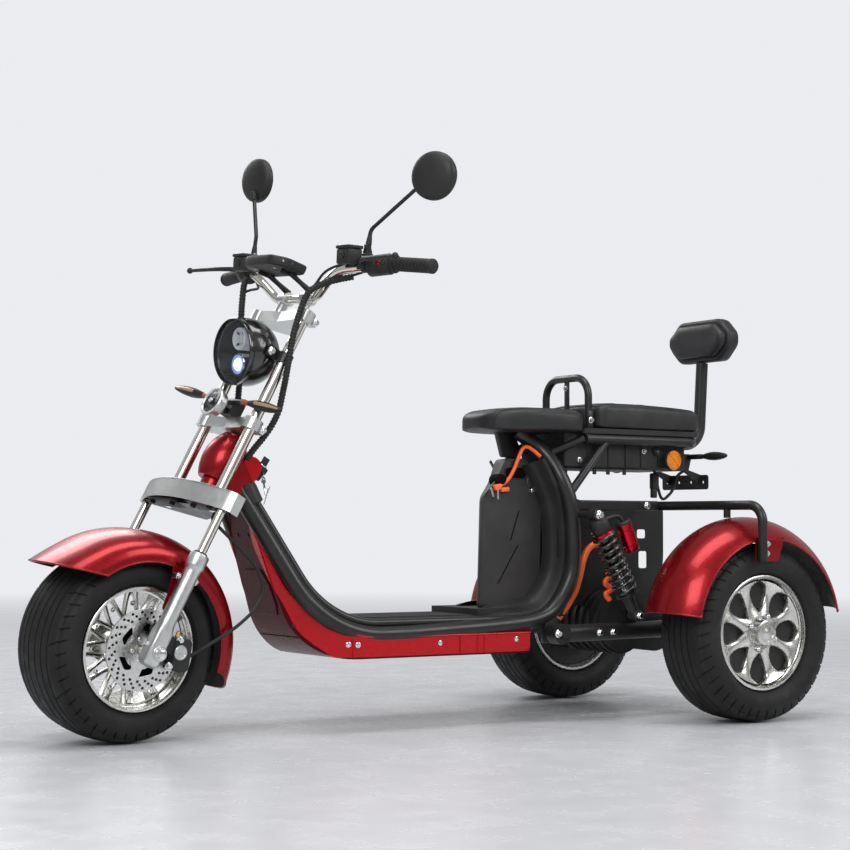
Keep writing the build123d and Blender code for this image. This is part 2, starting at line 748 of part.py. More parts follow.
with BuildPart() as front_signals:
    for hand in (1, -1):
        root = fork.from_local_coords((signal_ahead - 10, hand * (signal_start + seat_gap), signal_up))
        signal(root, (0, hand, 0), signal_end - signal_start)
write(front_signals, "front_signals", turned=True)

# Front fender, about the wheel's axle
front_fender_crown = 266
front_fender_edge = 199
front_fender_half = 126
front_fender_wall = 3
front_fender_tip = 38  # where its sweep starts, up from straight ahead
front_fender_sweep = 165
nose_trim_ahead = 87  # its nose is trimmed level from here, ahead of the axle
nose_trim_up = 166
nose_trim_rise = 0.23  # of the trim line, for its run ahead
tab_foot = 96
tab_left = front_fender_half - front_fender_wall
with BuildPart() as front_fender:
    start_plane = Plane(
        origin=(wheelbase, 0, front_axle_up), x_dir=(0, 1, 0),
        z_dir=(sin(radians(front_fender_tip)), 0, -cos(radians(front_fender_tip))),
    )
    with BuildSketch(start_plane) as arch:
        with BuildLine():
            ThreePointArc(
                (-front_fender_half, front_fender_edge), (0, front_fender_crown), (front_fender_half, front_fender_edge)
            )
            Line((front_fender_half, front_fender_edge), (tab_left, front_fender_edge))
            ThreePointArc(
                (tab_left, front_fender_edge), (0, front_fender_crown - front_fender_wall), (-tab_left, front_fender_edge)
            )
            Line((-tab_left, front_fender_edge), (-front_fender_half, front_fender_edge))
        make_face()
    revolve(arch.sketch, axis=Axis(front_spin.position, (0, -1, 0)), revolution_arc=front_fender_sweep)
    with BuildSketch(side(0)) as nose_trim:
        trim_rear, trim_front = wheelbase + nose_trim_ahead, wheelbase + front_fender_crown
        trim_up = front_axle_up + nose_trim_up
        with BuildLine():
            Polyline(
                (trim_rear, front_axle_up), (trim_front, front_axle_up),
                (trim_front, trim_up + nose_trim_rise * (trim_front - trim_rear)), (trim_rear, trim_up), close=True,
            )
        make_face()
    extrude(nose_trim.sketch, amount=2 * front_fender_half, both=True, mode=Mode.SUBTRACT)
    for hand in (1, -1):
        tab_plane = Plane(origin=(0, 0, 0), x_dir=(1, 0, 0), z_dir=(0, -1, 0)).offset(-hand * tab_left)
        tab_edge = front_fender_edge + 5
        corners = [
            fork.from_local_coords((leg_ahead + across, 0, along))
            for across, along in ((-40, tab_edge), (-14, tab_foot), (14, tab_foot), (40, tab_edge))
        ]
        with BuildSketch(tab_plane) as tab:
            with BuildLine():
                Polyline(*[(corner.X, corner.Z) for corner in corners], close=True)
            make_face()
        extrude(tab.sketch, amount=-hand * front_fender_wall)
        for bolt_up in (tab_foot + 18, tab_foot + 62):
            boss = fork.from_local_coords((leg_ahead, hand * front_fender_half, bolt_up))
            disc(boss, (0, hand, 0), 8, leg_spread - slider_radius - seat_gap - front_fender_half)
write(front_fender, "front_fender", turned=True)

with BuildPart() as front_axle:
    axle_half = leg_spread + slider_radius
    disc((wheelbase, -axle_half - 12, front_axle_up), (0, 1, 0), axle_radius, 2 * axle_half + 24)
    for hand in (1, -1):
        disc((wheelbase, hand * (axle_half + seat_gap), front_axle_up), (0, hand, 0), 13, 9)
        inner = disc_left + disc_thickness / 2 + 4 if hand > 0 else front_rim_width / 2 - 14
        disc((wheelbase, hand * inner, front_axle_up), (0, hand, 0), 12, leg_spread - slider_radius - seat_gap - inner)
write(front_axle, "front_axle", turned=True)

caliper_angle = 188  # round the axle from straight ahead, over the top
caliper_radius = 88
caliper_long = 74
caliper_tall = 46
caliper_slot = 5
caliper_in = 92
caliper_out = 136
with BuildPart() as brake_caliper:
    direction = Vector(cos(radians(caliper_angle)), 0, sin(radians(caliper_angle)))
    tangent = Vector(-direction.Z, 0, direction.X)
    middle = Vector(wheelbase, caliper_in, front_axle_up) + direction * caliper_radius
    caliper_plane = Plane(origin=middle, x_dir=tangent, z_dir=(0, 1, 0))
    with BuildSketch(caliper_plane) as body:
        RectangleRounded(caliper_long, caliper_tall, 12)
    extrude(body.sketch, amount=caliper_out - caliper_in)
    fillet(brake_caliper.edges().filter_by(GeomType.CIRCLE), radius=3)
    with BuildSketch(wheel_face(wheelbase, disc_left - disc_thickness / 2 - caliper_slot, front_axle_up)) as slot:
        Circle(disc_radius + caliper_slot)
    extrude(slot.sketch, amount=disc_thickness + 2 * caliper_slot, mode=Mode.SUBTRACT)
    carrier_left = caliper_out - 12
    with BuildSketch(Plane(origin=(0, carrier_left, 0), x_dir=(-1, 0, 0), z_dir=(0, 1, 0))) as carrier:
        lug_at = fork.from_local_coords((leg_ahead - 2, 0, 52))
        with Locations((-middle.X, middle.Z)):
            Circle(18)
        with Locations((-lug_at.X, lug_at.Z)):
            Circle(15)
        make_hull()
    extrude(carrier.sketch, amount=9)
    disc((lug_at.X, carrier_left, lug_at.Z), (0, 1, 0), 9, leg_spread - slider_radius - seat_gap - carrier_left)
write(brake_caliper, "brake_caliper", turned=True)

# Held hose from the caliper up to the yoke's shroud, and the loom down the left fork tube
hose_radius = 4
caliper_port = middle + direction * (caliper_tall / 2 + seat_gap)
hose_left = caliper_in + 36
hose_points = [
    (caliper_port.X - 2, hose_left, caliper_port.Z), fore(149, 138, 224), fore(226, 138, 262), fore(286, 128, 302),
    fore(315, 121, 346), fore(292, 119, 398), fore(240, 118, 446), fore(190, 118, 486),
]
for hose_up in (shroud_low - 18, shroud_low - seat_gap):
    hose_top = fork.from_local_coords((-6, 118, hose_up))
    hose_points.append((hose_top.X, hose_top.Y, hose_top.Z))


def easy_corners(points, label):
    # Each arc takes nearly all of the room that its two runs leave.
    radii = []
    for before, here, after in zip(points, points[1:], points[2:]):
        come = Vector(*here) - Vector(*before)
        leave = Vector(*after) - Vector(*here)
        radii.append(0.45 * min(come.length, leave.length) / tan(radians(come.get_angle(leave) / 2)))
    print(label, "radii", [round(r) for r in radii])
    return radii


with BuildPart() as brake_hose:
    bar(hose_points, hose_radius, corners=easy_corners(hose_points, "brake hose"))
write(brake_hose, "brake_hose", turned=True)

loom_radius = 9
loom_points = [
    fore(470, 116, 1050), fore(467, 130, 1012), fore(455, 138, 968), fore(431, 140, 922), fore(407, 136, 872),
    fore(387, 134, 822), fore(373, 132, 774), fore(365, 124, 728), fore(353, 100, 700), fore(347, 68, 690),
]
with BuildPart() as wiring_loom:
    bar(loom_points, loom_radius, corners=easy_corners(loom_points, "wiring loom"))
write(wiring_loom, "wiring_loom", turned=True)

# Main frame
side_route = [
    (neck_ahead, neck_half, neck_up), (front_bend_ahead, floor_half, floor_up), (rear_bend_ahead, floor_half, floor_up),
    (rear_bend_ahead, floor_half, loop_top_up), (loop_end_ahead, floor_half, loop_top_up),
]
side_bends = [front_bend_radius, rear_bend_radius, loop_radius]
for hand, label in ((1, "left"), (-1, "right")):
    with BuildPart() as frame_tube:
        bar([(x, hand * y, z) for x, y, z in side_route], tube_radius, corners=side_bends)
    write(frame_tube, f"{label}_frame_tube")


def both_tubes(radius):
    for hand in (1, -1):
        bar([(x, hand * y, z) for x, y, z in side_route], radius, corners=side_bends)


with BuildPart() as tube_room:
    both_tubes(tube_radius + seat_gap)

lug_back = 58  # of the neck's lug behind the steering axis
lug_half = 66
with BuildPart() as head_tube:
    with BuildSketch(fork.offset(head_low)) as head:
        with Locations((-fork_offset, 0)):
            Circle(head_radius)
    extrude(head.sketch, amount=head_high - head_low)
    with BuildSketch(Plane(origin=(0, 0, 0), x_dir=(1, 0, 0), z_dir=(0, -1, 0))) as web:
        low = fork.from_local_coords((-fork_offset - 10, 0, head_low + 6))
        high = fork.from_local_coords((-fork_offset - 10, 0, head_high - 46))
        with BuildLine():
            Polyline(
                (low.X, low.Z), (high.X, high.Z), (neck_ahead - 6, neck_up + 30),
                (neck_ahead - 38, neck_up - 34), close=True,
            )
        make_face()
    extrude(web.sketch, amount=lug_half, both=True)
    fillet(head_tube.edges().filter_by(Axis.Y), radius=8)
    with BuildSketch(fork.offset(head_low - 1)) as bore:
        with Locations((-fork_offset, 0)):
            Circle(stem_radius + stem_bearing + axle_gap)
    extrude(bore.sketch, amount=head_high - head_low + 2, mode=Mode.SUBTRACT)
    add(tube_room.part, mode=Mode.SUBTRACT)
write(head_tube, "head_tube")

with BuildPart() as neck_cover:
    cover_plane = Plane(origin=steering_foot, x_dir=fork.x_dir, z_dir=(0, -1, 0))
    low = head_low + 40
    high = head_high - 4
    with BuildSketch(cover_plane) as bulb:
        with BuildLine():
            Polyline((head_radius + 2, high), (head_radius + seat_gap, high), (head_radius + seat_gap, low), (40, low))
            ThreePointArc((40, low), (52, low + 50), (head_radius + 2, high))
        make_face()
    revolve(bulb.sketch, axis=steering_axis)
    add(head_tube.part, mode=Mode.SUBTRACT)
write(neck_cover, "neck_cover")

cross_spots = (front_bend_ahead - 130, 700, 470)
seat_cross = 500
pivot_lug = 138  # trailing arm's pivot lug from the middle plane
pivot_radius = 10
shock_pin = 8
with BuildPart() as cross_members:
    for spot in cross_spots:
        disc((spot, -floor_half, floor_up - 12), (0, 1, 0), cross_radius, 2 * floor_half)
    disc((seat_cross, -floor_half, loop_top_up), (0, 1, 0), cross_radius, 2 * floor_half)
    disc((rear_bend_ahead, -floor_half, deck_up), (0, 1, 0), cross_radius, 2 * floor_half)
    for hand in (1, -1):
        with BuildSketch(side(hand * pivot_lug)) as pivot:
            with Locations((arm_pivot_ahead, (arm_up + floor_up) / 2 - 12)):
                Rectangle(44, floor_up - arm_up + 24)
        extrude(pivot.sketch, amount=10, both=True)
        disc((arm_pivot_ahead, hand * pivot_lug, arm_up), (0, hand, 0), pivot_radius, arm_half + 30 - pivot_lug)
        disc((shock_top[0], hand * floor_half, shock_top[1]), (0, hand, 0), shock_pin, shock_half + 18 - floor_half)
    add(tube_room.part, mode=Mode.SUBTRACT)
write(cross_members, "cross_members")

# Belly fairing: the space between its outline and the tubes, tapered to the neck
tube_lean = degrees(atan2(neck_up - floor_up, neck_ahead - front_bend_ahead))
belly_half = floor_half + 22
# half widths of its front, from distances behind the front axle
belly_plan = ((553, belly_half), (493, 132), (435, 104), (355, 76), (291, 60))
edge_drop = 18  # of the fairing's top edge under the tubes' centre line


def belly(inset, drop, half_low, half_high):
    lean = radians(tube_lean)
    top = (neck_ahead + drop * sin(lean), neck_up - drop * cos(lean))
    bend = (front_bend_ahead + drop * tan(lean / 2), floor_up - drop)
    with BuildSketch(Plane(origin=(0, 0, 0), x_dir=(1, 0, 0), z_dir=(0, -1, 0))) as outline:
        with BuildLine():
            FilletPolyline(top, bend, (belly_rear + inset, floor_up - drop), radius=front_bend_radius + drop)
            Polyline(
                (belly_rear + inset, floor_up - drop), (belly_rear + inset, belly_low + inset + 16),
                (belly_rear + inset + 16, belly_low + inset),
            )
            FilletPolyline(
                (belly_rear + inset + 16, belly_low + inset), (belly_front - inset, belly_low + inset),
                (belly_nose_ahead - inset, belly_nose_up), radius=belly_chin - inset,
            )
            Line((belly_nose_ahead - inset, belly_nose_up), top)
        make_face()
    extrude(outline.sketch, amount=2 * floor_half, both=True)
    with BuildSketch(Plane(origin=(0, 0, 0), x_dir=(0, 1, 0), z_dir=(1, 0, 0))) as front:
        with BuildLine():
            Polyline(
                (-half_low, 0), (half_low, 0), (half_low, floor_up), (half_high, neck_up), (half_high, 2 * neck_up),
                (-half_high, 2 * neck_up), (-half_high, neck_up), (-half_low, floor_up), close=True,
            )
        make_face()
    extrude(front.sketch, amount=2 * wheelbase, mode=Mode.INTERSECT)
    with BuildSketch(Plane.XY) as plan:
        edge = [(wheelbase - back, half + half_low - belly_half) for back, half in belly_plan]
        edge = [(0, half_low)] + edge + [(2 * wheelbase, edge[-1][1])]
        with BuildLine():
            Polyline(*edge, *[(ahead, -left) for ahead, left in reversed(edge)], close=True)
        make_face()
    extrude(plan.sketch, amount=2 * neck_up, mode=Mode.INTERSECT)


belly_top_half = neck_half + 22
with BuildPart() as belly_hollow:
    belly(belly_wall, -60, belly_half - belly_wall, belly_top_half - belly_wall)
with BuildPart() as belly_fairing:
    belly(0, edge_drop, belly_half, belly_top_half)
    add(belly_hollow.part, mode=Mode.SUBTRACT)
    add(tube_room.part, mode=Mode.SUBTRACT)
    add(head_tube.part, mode=Mode.SUBTRACT)
write(belly_fairing, "belly_fairing")

# Floor board between the tubes, turned up at the front
board_low = floor_up - 12 + cross_radius + seat_gap
board_rear = 630
board_top = 430
board_half = floor_half - tube_radius - 1
with BuildPart() as footboard:
    lean = radians(tube_lean)
    rise = board_low - floor_up
    up_ahead = front_bend_ahead + (board_top - floor_up) / tan(lean)
    with BuildSketch(Plane(origin=(0, 0, 0), x_dir=(1, 0, 0), z_dir=(0, -1, 0))) as board:
        with BuildLine() as under:
            FilletPolyline(
                (board_rear, board_low), (front_bend_ahead - rise * tan(lean / 2), board_low),
                (up_ahead - rise / sin(lean), board_top), radius=front_bend_radius - rise,
            )
        with BuildLine() as over:
            FilletPolyline(
                (board_rear, board_low + floor_wall),
                (front_bend_ahead - (rise + floor_wall) * tan(lean / 2), board_low + floor_wall),
                (up_ahead - (rise + floor_wall) / sin(lean), board_top), radius=front_bend_radius - rise - floor_wall,
            )
            Line(under.line @ 1, over.line @ 1)
            Line(under.line @ 0, over.line @ 0)
        make_face()
    extrude(board.sketch, amount=board_half, both=True)
    add(tube_room.part, mode=Mode.SUBTRACT)
write(footboard, "footboard")

# Battery case and the bay that holds it
with BuildPart() as battery_case:
    with BuildSketch(side(0)) as outline:
        with BuildLine():
            Polyline(
                (battery_rear + 6, battery_low), (battery_front, battery_low), (battery_front - 12, battery_shoulder - 12),
                (battery_front - 46, battery_shoulder + 26), (battery_front - 62, battery_high),
                (battery_rear + 48, battery_high), (battery_rear + 22, battery_shoulder + 26),
                (battery_rear, battery_shoulder - 12), close=True,
            )
        make_face()
        fillet(outline.vertices(), radius=12)
    extrude(outline.sketch, amount=battery_half, both=True)
    fillet(battery_case.faces().filter_by(Axis.Y).edges(), radius=8)
    with BuildSketch(side(0)) as grip_hole:
        with Locations(((battery_front + battery_rear) / 2 - 2, battery_high - 38)):
            SlotOverall(84, 30)
    extrude(grip_hole.sketch, amount=2 * battery_half, both=True, mode=Mode.SUBTRACT)
write(battery_case, "battery_case")

bay_wall = 28
bay_half = floor_half - tube_radius - 1
bay_rear = rear_bend_ahead + cross_radius + seat_gap
bay_top = loop_top_up - 68
with BuildPart() as battery_bay:
    with BuildSketch(side(0)) as bay:
        with BuildLine():
            Polyline(
                (board_rear - seat_gap, board_low), (board_rear - seat_gap, battery_low - seat_gap),
                (bay_rear + bay_wall, battery_low - seat_gap), (bay_rear + bay_wall, bay_top),
                (bay_rear, bay_top - 30), (bay_rear, board_low), close=True,
            )
        make_face()
    extrude(bay.sketch, amount=bay_half, both=True)
    add(tube_room.part, mode=Mode.SUBTRACT)
write(battery_bay, "battery_bay")

lead_radius = 5
lead_left = battery_half + lead_radius + 0.4
# back from the battery's front, out from its side and down from its top
lead_route = [(24, 0, 98), (40, 0, 76), (54, 6, 48), (66, 14, 16), (84, 24, -4), (108, 32, -4), (126, 36, 14)]
lead_points = [(battery_front - back, lead_left + out, battery_high - down) for back, out, down in lead_route]
with BuildPart() as battery_lead:
    bar(lead_points, lead_radius, corners=easy_corners(lead_points, "battery lead"))
write(battery_lead, "battery_lead")

# Seats
bracket_half = 44
with BuildPart() as saddle_bracket:
    with BuildSketch(side(0)) as bracket:
        top = saddle_low - seat_gap
        foot = loop_top_up + cross_radius + seat_gap
        with BuildLine():
            Polyline(
                (seat_cross - 20, foot), (seat_cross - 20, top), (seat_cross + 84, top), (seat_cross + 84, top - 8),
                (seat_cross + 56, battery_high + seat_gap), (seat_cross + 36, battery_high + seat_gap),
                (seat_cross + 58, foot), close=True,
            )
        make_face()
    extrude(bracket.sketch, amount=bracket_half, both=True)
write(saddle_bracket, "saddle_bracket")

with BuildPart() as saddle:
    with BuildSketch(Plane.XY.offset(saddle_low)) as seat:
        with BuildLine():
            Polyline(
                (saddle_front - 70, 96), (saddle_rear + 90, saddle_half), (saddle_rear + 30, saddle_half),
                (saddle_rear, saddle_half - 40), (saddle_rear, 40 - saddle_half), (saddle_rear + 30, -saddle_half),
                (saddle_rear + 90, -saddle_half), (saddle_front - 70, -96),
            )
            ThreePointArc((saddle_front - 70, -96), (saddle_front, 0), (saddle_front - 70, 96))
        make_face()
    extrude(seat.sketch, amount=saddle_thick)
    fillet(saddle.faces().sort_by(Axis.Z)[-1].edges(), radius=20)
write(saddle, "saddle")

with BuildPart() as pillion_pad:
    with BuildSketch(Plane.XY.offset(pillion_low)) as pad:
        with Locations(((pillion_front + pillion_rear) / 2, 0)):
            RectangleRounded(pillion_front - pillion_rear, 2 * pillion_half, 40)
    extrude(pad.sketch, amount=pillion_thick)
    fillet(pillion_pad.faces().sort_by(Axis.Z)[-1].edges(), radius=20)
write(pillion_pad, "pillion_pad")

rail_front = 480
strut_top_ahead = 232
strut_foot_ahead = rear_bend_ahead + 18
strut_foot_up = deck_up + deck_bar / 2 + 22
with BuildPart() as seat_frame:
    bar(
        [(rail_front, rail_half, rail_up), (rail_rear, rail_half, rail_up), (rail_rear, -rail_half, rail_up),
         (rail_front, -rail_half, rail_up)], rail_radius, corners=[44, 44],
    )
    for hand in (1, -1):
        strut_top = (strut_top_ahead, hand * rail_half, rail_up - 6)
        bar([strut_top, (strut_foot_ahead, hand * (floor_half - 2), strut_foot_up)], strut_radius)
    add(tube_room.part, mode=Mode.SUBTRACT)
write(seat_frame, "seat_frame")

flange_low = rail_up + rail_radius + seat_gap
flange_front = saddle_rear - 0.5
with BuildPart() as tail_box:
    with BuildSketch(Plane.XY.offset(tail_low)) as box:
        with Locations(((tail_front + tail_rear) / 2, 0)):
            RectangleRounded(tail_front - tail_rear, 2 * tail_half, 12)
    extrude(box.sketch, amount=flange_low - tail_low)
    chamfer(tail_box.faces().sort_by(Axis.Z)[0].edges(), length=6)
    with BuildSketch(Plane.XY.offset(flange_low)) as flange:
        with Locations(((flange_front + pillion_rear + 6) / 2, 0)):
            RectangleRounded(flange_front - pillion_rear - 6, 2 * pillion_half, 30)
    extrude(flange.sketch, amount=pillion_low - seat_gap - flange_low)
write(tail_box, "tail_box")

hoop_corner = 52
with BuildPart() as grab_hoop:
    bar(
        [(hoop_ahead, hoop_half, pillion_low), (hoop_ahead, hoop_half, hoop_high - hoop_radius),
         (hoop_ahead, -hoop_half, hoop_high - hoop_radius), (hoop_ahead, -hoop_half, pillion_low)],
        hoop_radius, corners=[hoop_corner, hoop_corner],
    )
    disc((hoop_ahead, 0, pillion_low), (0, 0, 1), hoop_radius - 1, hoop_high - pillion_low - hoop_radius)
write(grab_hoop, "grab_hoop")

with BuildPart() as backrest_post:
    bar(
        [(rail_rear - rail_radius - seat_gap, 0, rail_up), (backrest_ahead + 14, 0, rail_up),
         (backrest_ahead, 0, backrest_low - seat_gap - 1)], post_radius, corners=[56],
    )
write(backrest_post, "backrest_post")

with BuildPart() as backrest_pad:
    with BuildSketch(Plane(origin=(backrest_ahead - backrest_depth / 2, 0, 0), x_dir=(0, 1, 0), z_dir=(1, 0, 0))) as pad:
        with Locations((0, backrest_low + backrest_height / 2)):
            RectangleRounded(2 * backrest_half, backrest_height, 44)
    extrude(pad.sketch, amount=backrest_depth)
    fillet(backrest_pad.faces().filter_by(Axis.X).edges(), radius=16)
write(backrest_pad, "backrest_pad")

# Tail
reflector_ahead = 21
reflector_radius = 0.325 * tail_depth
reflector_up = tail_low + reflector_radius
with BuildPart() as side_reflectors:
    for hand in (1, -1):
        disc((reflector_ahead, hand * (tail_half + seat_gap), reflector_up), (0, hand, 0), 10, 18)
        disc((reflector_ahead, hand * (tail_half + 16), reflector_up), (0, hand, 0), reflector_radius, 9)
write(side_reflectors, "side_reflectors")

tail_lamp_width = 104
tail_lamp_height = 0.44 * tail_depth
tail_lamp_up = tail_low + 0.416 * tail_depth
with BuildPart() as tail_lamp:
    with BuildSketch(Plane(origin=(tail_rear - seat_gap, 0, tail_lamp_up), x_dir=(0, 1, 0), z_dir=(-1, 0, 0))) as lamp:
        RectangleRounded(tail_lamp_width, tail_lamp_height, 0.3 * tail_lamp_height)
    extrude(lamp.sketch, amount=16, taper=8)
write(tail_lamp, "tail_lamp")

stay_ahead = tail_rear - 42
stay_up = tail_low + 0.52 * tail_depth
stay_half = 105
with BuildPart() as plate_bracket:
    with BuildSketch(Plane(origin=(plate_ahead, 0, plate_low + plate_height / 2), x_dir=(0, 1, 0), z_dir=(-1, 0, 0))) as plate:
        RectangleRounded(2 * plate_half, plate_height, 8)
        with GridLocations(2 * plate_pitch, 1, 4, 1):
            Circle(plate_hole_radius, mode=Mode.SUBTRACT)
    extrude(plate.sketch, amount=3)
    for hand in (1, -1):
        with BuildSketch(side(hand * 62)) as arm:
            with BuildLine():
                Polyline(
                    (tail_rear - seat_gap, tail_low + 12), (tail_rear - seat_gap, stay_up + 8), (stay_ahead, stay_up + 8),
                    (stay_ahead - 6, stay_up - 8), (tail_rear - 40, tail_low + 4), (plate_ahead - 1, plate_low + plate_height),
                    (plate_ahead - 1, plate_low + 14), (tail_rear - 20, tail_low + 2), close=True,
                )
            make_face()
        extrude(arm.sketch, amount=3, both=True)
    disc((stay_ahead, -stay_half, stay_up), (0, 1, 0), 7, 2 * stay_half)
write(plate_bracket, "plate_bracket")

with BuildPart() as rear_signals:
    for hand in (1, -1):
        signal((stay_ahead, hand * (stay_half + seat_gap), stay_up), (0, hand, 0), 110)
write(rear_signals, "rear_signals")

# Rear deck, hoop and fenders
with BuildPart() as rear_rails:
    for hand in (1, -1):
        start = rear_bend_ahead - cross_radius - seat_gap
        end = hoop_bar_ahead + hoop_bar_radius + seat_gap
        with BuildSketch(Plane(origin=(end, hand * deck_half, deck_up), x_dir=(0, 1, 0), z_dir=(1, 0, 0))) as rail:
            RectangleRounded(deck_bar, deck_bar, 4)
        extrude(rail.sketch, amount=start - end)
write(rear_rails, "rear_rails")

hoop_bar_half = fender_outer + seat_gap + hoop_bar_radius
hoop_post = 9
fender_ridge = rear_track / 2 - 20
with BuildPart() as fender_hoop:
    bar(
        [(hoop_bar_ahead, hoop_bar_half, hoop_drop), (hoop_bar_ahead, hoop_bar_half, deck_up),
         (hoop_bar_ahead, -hoop_bar_half, deck_up), (hoop_bar_ahead, -hoop_bar_half, hoop_drop)],
        hoop_bar_radius, corners=[46, 46],
    )
    for hand in (1, -1):
        post_low = rear_tyre_radius + sqrt(fender_crown**2 - (hoop_bar_ahead - hoop_post) ** 2) + seat_gap
        disc((hoop_bar_ahead, hand * fender_ridge, post_low), (0, 0, 1), hoop_post, deck_up - post_low)
write(fender_hoop, "fender_hoop")

with BuildPart() as rear_fenders:
    for hand in (1, -1):
        start = Plane(
            origin=(0, 0, rear_tyre_radius), x_dir=(0, hand, 0),
            z_dir=(hand * sin(radians(fender_start)), 0, -hand * cos(radians(fender_start))),
        )
        with BuildSketch(start) as arch:
            inner = fender_crown - 34
            with BuildLine():
                ThreePointArc((fender_inner, inner), (fender_ridge, fender_crown), (fender_outer, fender_edge))
                Line((fender_outer, fender_edge), (fender_outer - fender_wall, fender_edge))
                ThreePointArc(
                    (fender_outer - fender_wall, fender_edge), (fender_ridge, fender_crown - fender_wall),
                    (fender_inner + fender_wall, inner),
                )
                Line((fender_inner + fender_wall, inner), (fender_inner, inner))
            make_face()
        revolve(arch.sketch, axis=Axis(rear_spin.position, (0, -1, 0)), revolution_arc=fender_sweep)
        flap_plane = Plane(origin=(0, hand * fender_outer, 0), x_dir=(-hand, 0, 0), z_dir=(0, hand, 0))
        with BuildSketch(flap_plane) as flap:
            with BuildLine():
                Polyline(
                    (-hand * (hoop_bar_ahead + 12), hoop_drop), (-hand * (hoop_bar_ahead + 12), 465),
                    (hand * 46, 465), (hand * 24, hoop_drop), close=True,
                )
            make_face()
        extrude(flap.sketch, amount=-fender_wall)
write(rear_fenders, "rear_fenders")

# Rear axle with its motor, arms and shocks
motor_ahead = 150
motor_up = 238
fin_count = 6
with BuildPart() as axle_housing:
    disc((0, -housing_half, rear_tyre_radius), (0, 1, 0), housing_radius, 2 * housing_half)
    for hand in (1, -1):
        disc((0, hand * housing_half, rear_tyre_radius), (0, hand, 0), drum_radius, drum_depth)
        disc((0, hand * housing_half, rear_tyre_radius), (0, hand, 0), stub_radius, rear_track / 2 + spoke_face - housing_half)
    with BuildSketch(side(36)) as gear_case:
        with Locations((0, rear_tyre_radius)):
            Circle(motor_radius - 22)
        with Locations((motor_ahead, motor_up)):
            Circle(motor_radius - 30)
        make_hull()
    extrude(gear_case.sketch, amount=72)
    disc((motor_ahead, -motor_half, motor_up), (0, 1, 0), motor_radius - 14, 2 * motor_half)
    for fin in range(fin_count):
        disc((motor_ahead, -motor_half + 8 + fin * 30, motor_up), (0, 1, 0), motor_radius - 8, 6)
write(axle_housing, "axle_housing")

with BuildPart() as housing_room:
    disc((0, -housing_half, rear_tyre_radius), (0, 1, 0), housing_radius + seat_gap, 2 * housing_half)

with BuildPart() as trailing_arms:
    for hand in (1, -1):
        bar([(arm_pivot_ahead, hand * arm_half, arm_up), (20, hand * arm_half, rear_tyre_radius)], arm_radius)
        disc((arm_pivot_ahead, hand * (arm_half - 15), arm_up), (0, hand, 0), arm_radius + 4, 38)
        with BuildSketch(side(hand * arm_half)) as lug:
            with BuildLine():
                Polyline(
                    (shock_foot[0] - 30, arm_up), (shock_foot[0] - 14, shock_foot[1] + 14),
                    (shock_foot[0] + 14, shock_foot[1] + 14), (shock_foot[0] + 30, arm_up), close=True,
                )
            make_face()
        extrude(lug.sketch, amount=8, both=True)
        disc((shock_foot[0], hand * arm_half, shock_foot[1]), (0, hand, 0), shock_pin, shock_half + 18 - arm_half)
    with BuildSketch(Plane(origin=(arm_pivot_ahead, -2 * arm_half, arm_up), z_dir=(0, 1, 0))) as bore:
        Circle(pivot_radius + seat_gap)
    extrude(bore.sketch, amount=4 * arm_half, mode=Mode.SUBTRACT)
    add(housing_room.part, mode=Mode.SUBTRACT)
write(trailing_arms, "trailing_arms")

shock_run = Vector(shock_top[0] - shock_foot[0], 0, shock_top[1] - shock_foot[1])
shock_length = shock_run.length
shock_line = shock_run.normalized()
eye_radius = 16
eye_half = 12
seat_low = 62
seat_high = shock_length - 40
seat_thick = 6
can_radius = 20
can_top = (248, 505)
can_foot = (214, 428)
with BuildPart() as shock_bodies:
    for hand in (1, -1):
        foot = Vector(shock_foot[0], hand * shock_half, shock_foot[1])
        head = Vector(shock_top[0], hand * shock_half, shock_top[1])
        for eye in (foot, head):
            disc(eye - Vector(0, eye_half, 0), (0, 1, 0), eye_radius, 2 * eye_half)
        disc(foot, shock_line, 19, seat_low + 70)
        disc(foot, shock_line, 9, shock_length)
        disc(foot + shock_line * seat_low, shock_line, spring_radius + 5, seat_thick)
        disc(foot + shock_line * seat_high, shock_line, spring_radius + 5, seat_thick)
        disc(foot + shock_line * seat_high, shock_line, 22, 30)
        can = Vector(can_top[0] - can_foot[0], 0, can_top[1] - can_foot[1])
        base = Vector(can_foot[0], hand * shock_half, can_foot[1])
        disc(base, can, can_radius, can.length)
        neck = foot + shock_line * (seat_high + 16)
        bar([neck, base + can * 0.82], 6)
        for eye in (foot, head):
            with BuildSketch(Plane(origin=eye - Vector(0, 2 * eye_half, 0), z_dir=(0, 1, 0))) as hole:
                Circle(shock_pin + seat_gap)
            extrude(hole.sketch, amount=4 * eye_half, mode=Mode.SUBTRACT)
write(shock_bodies, "shock_bodies")

spring_low = seat_low + seat_thick + spring_wire + seat_gap
spring_high = seat_high - spring_wire - seat_gap
with BuildPart() as shock_springs:
    for hand in (1, -1):
        foot = Vector(shock_foot[0], hand * shock_half, shock_foot[1])
        with BuildLine() as coil:
            Helix(
                pitch=(spring_high - spring_low) / spring_turns, height=spring_high - spring_low, radius=spring_radius,
                center=foot + shock_line * spring_low, direction=shock_line,
            )
        with BuildSketch(Plane(origin=coil.line @ 0, z_dir=coil.line % 0)) as wire:
            Circle(spring_wire)
        sweep(wire.sketch, path=coil.line, is_frenet=True)
write(shock_springs, "shock_springs")

cable_radius = 8
cable_points = [
    (150, 58, 321.5), (156, 84, 360), (186, 110, 400), (226, 116, 420), (264, 112, 400), (286, 104, 356),
    (300, 96, 306), (320, 90, 264), (348, 86, 240), (372, 84, 242),
]
with BuildPart() as power_cable:
    bar(cable_points, cable_radius, corners=easy_corners(cable_points, "power cable"))
write(power_cable, "power_cable")
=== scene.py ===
import json
from math import acos, atan2, cos, pi, radians, sin, sqrt, tan

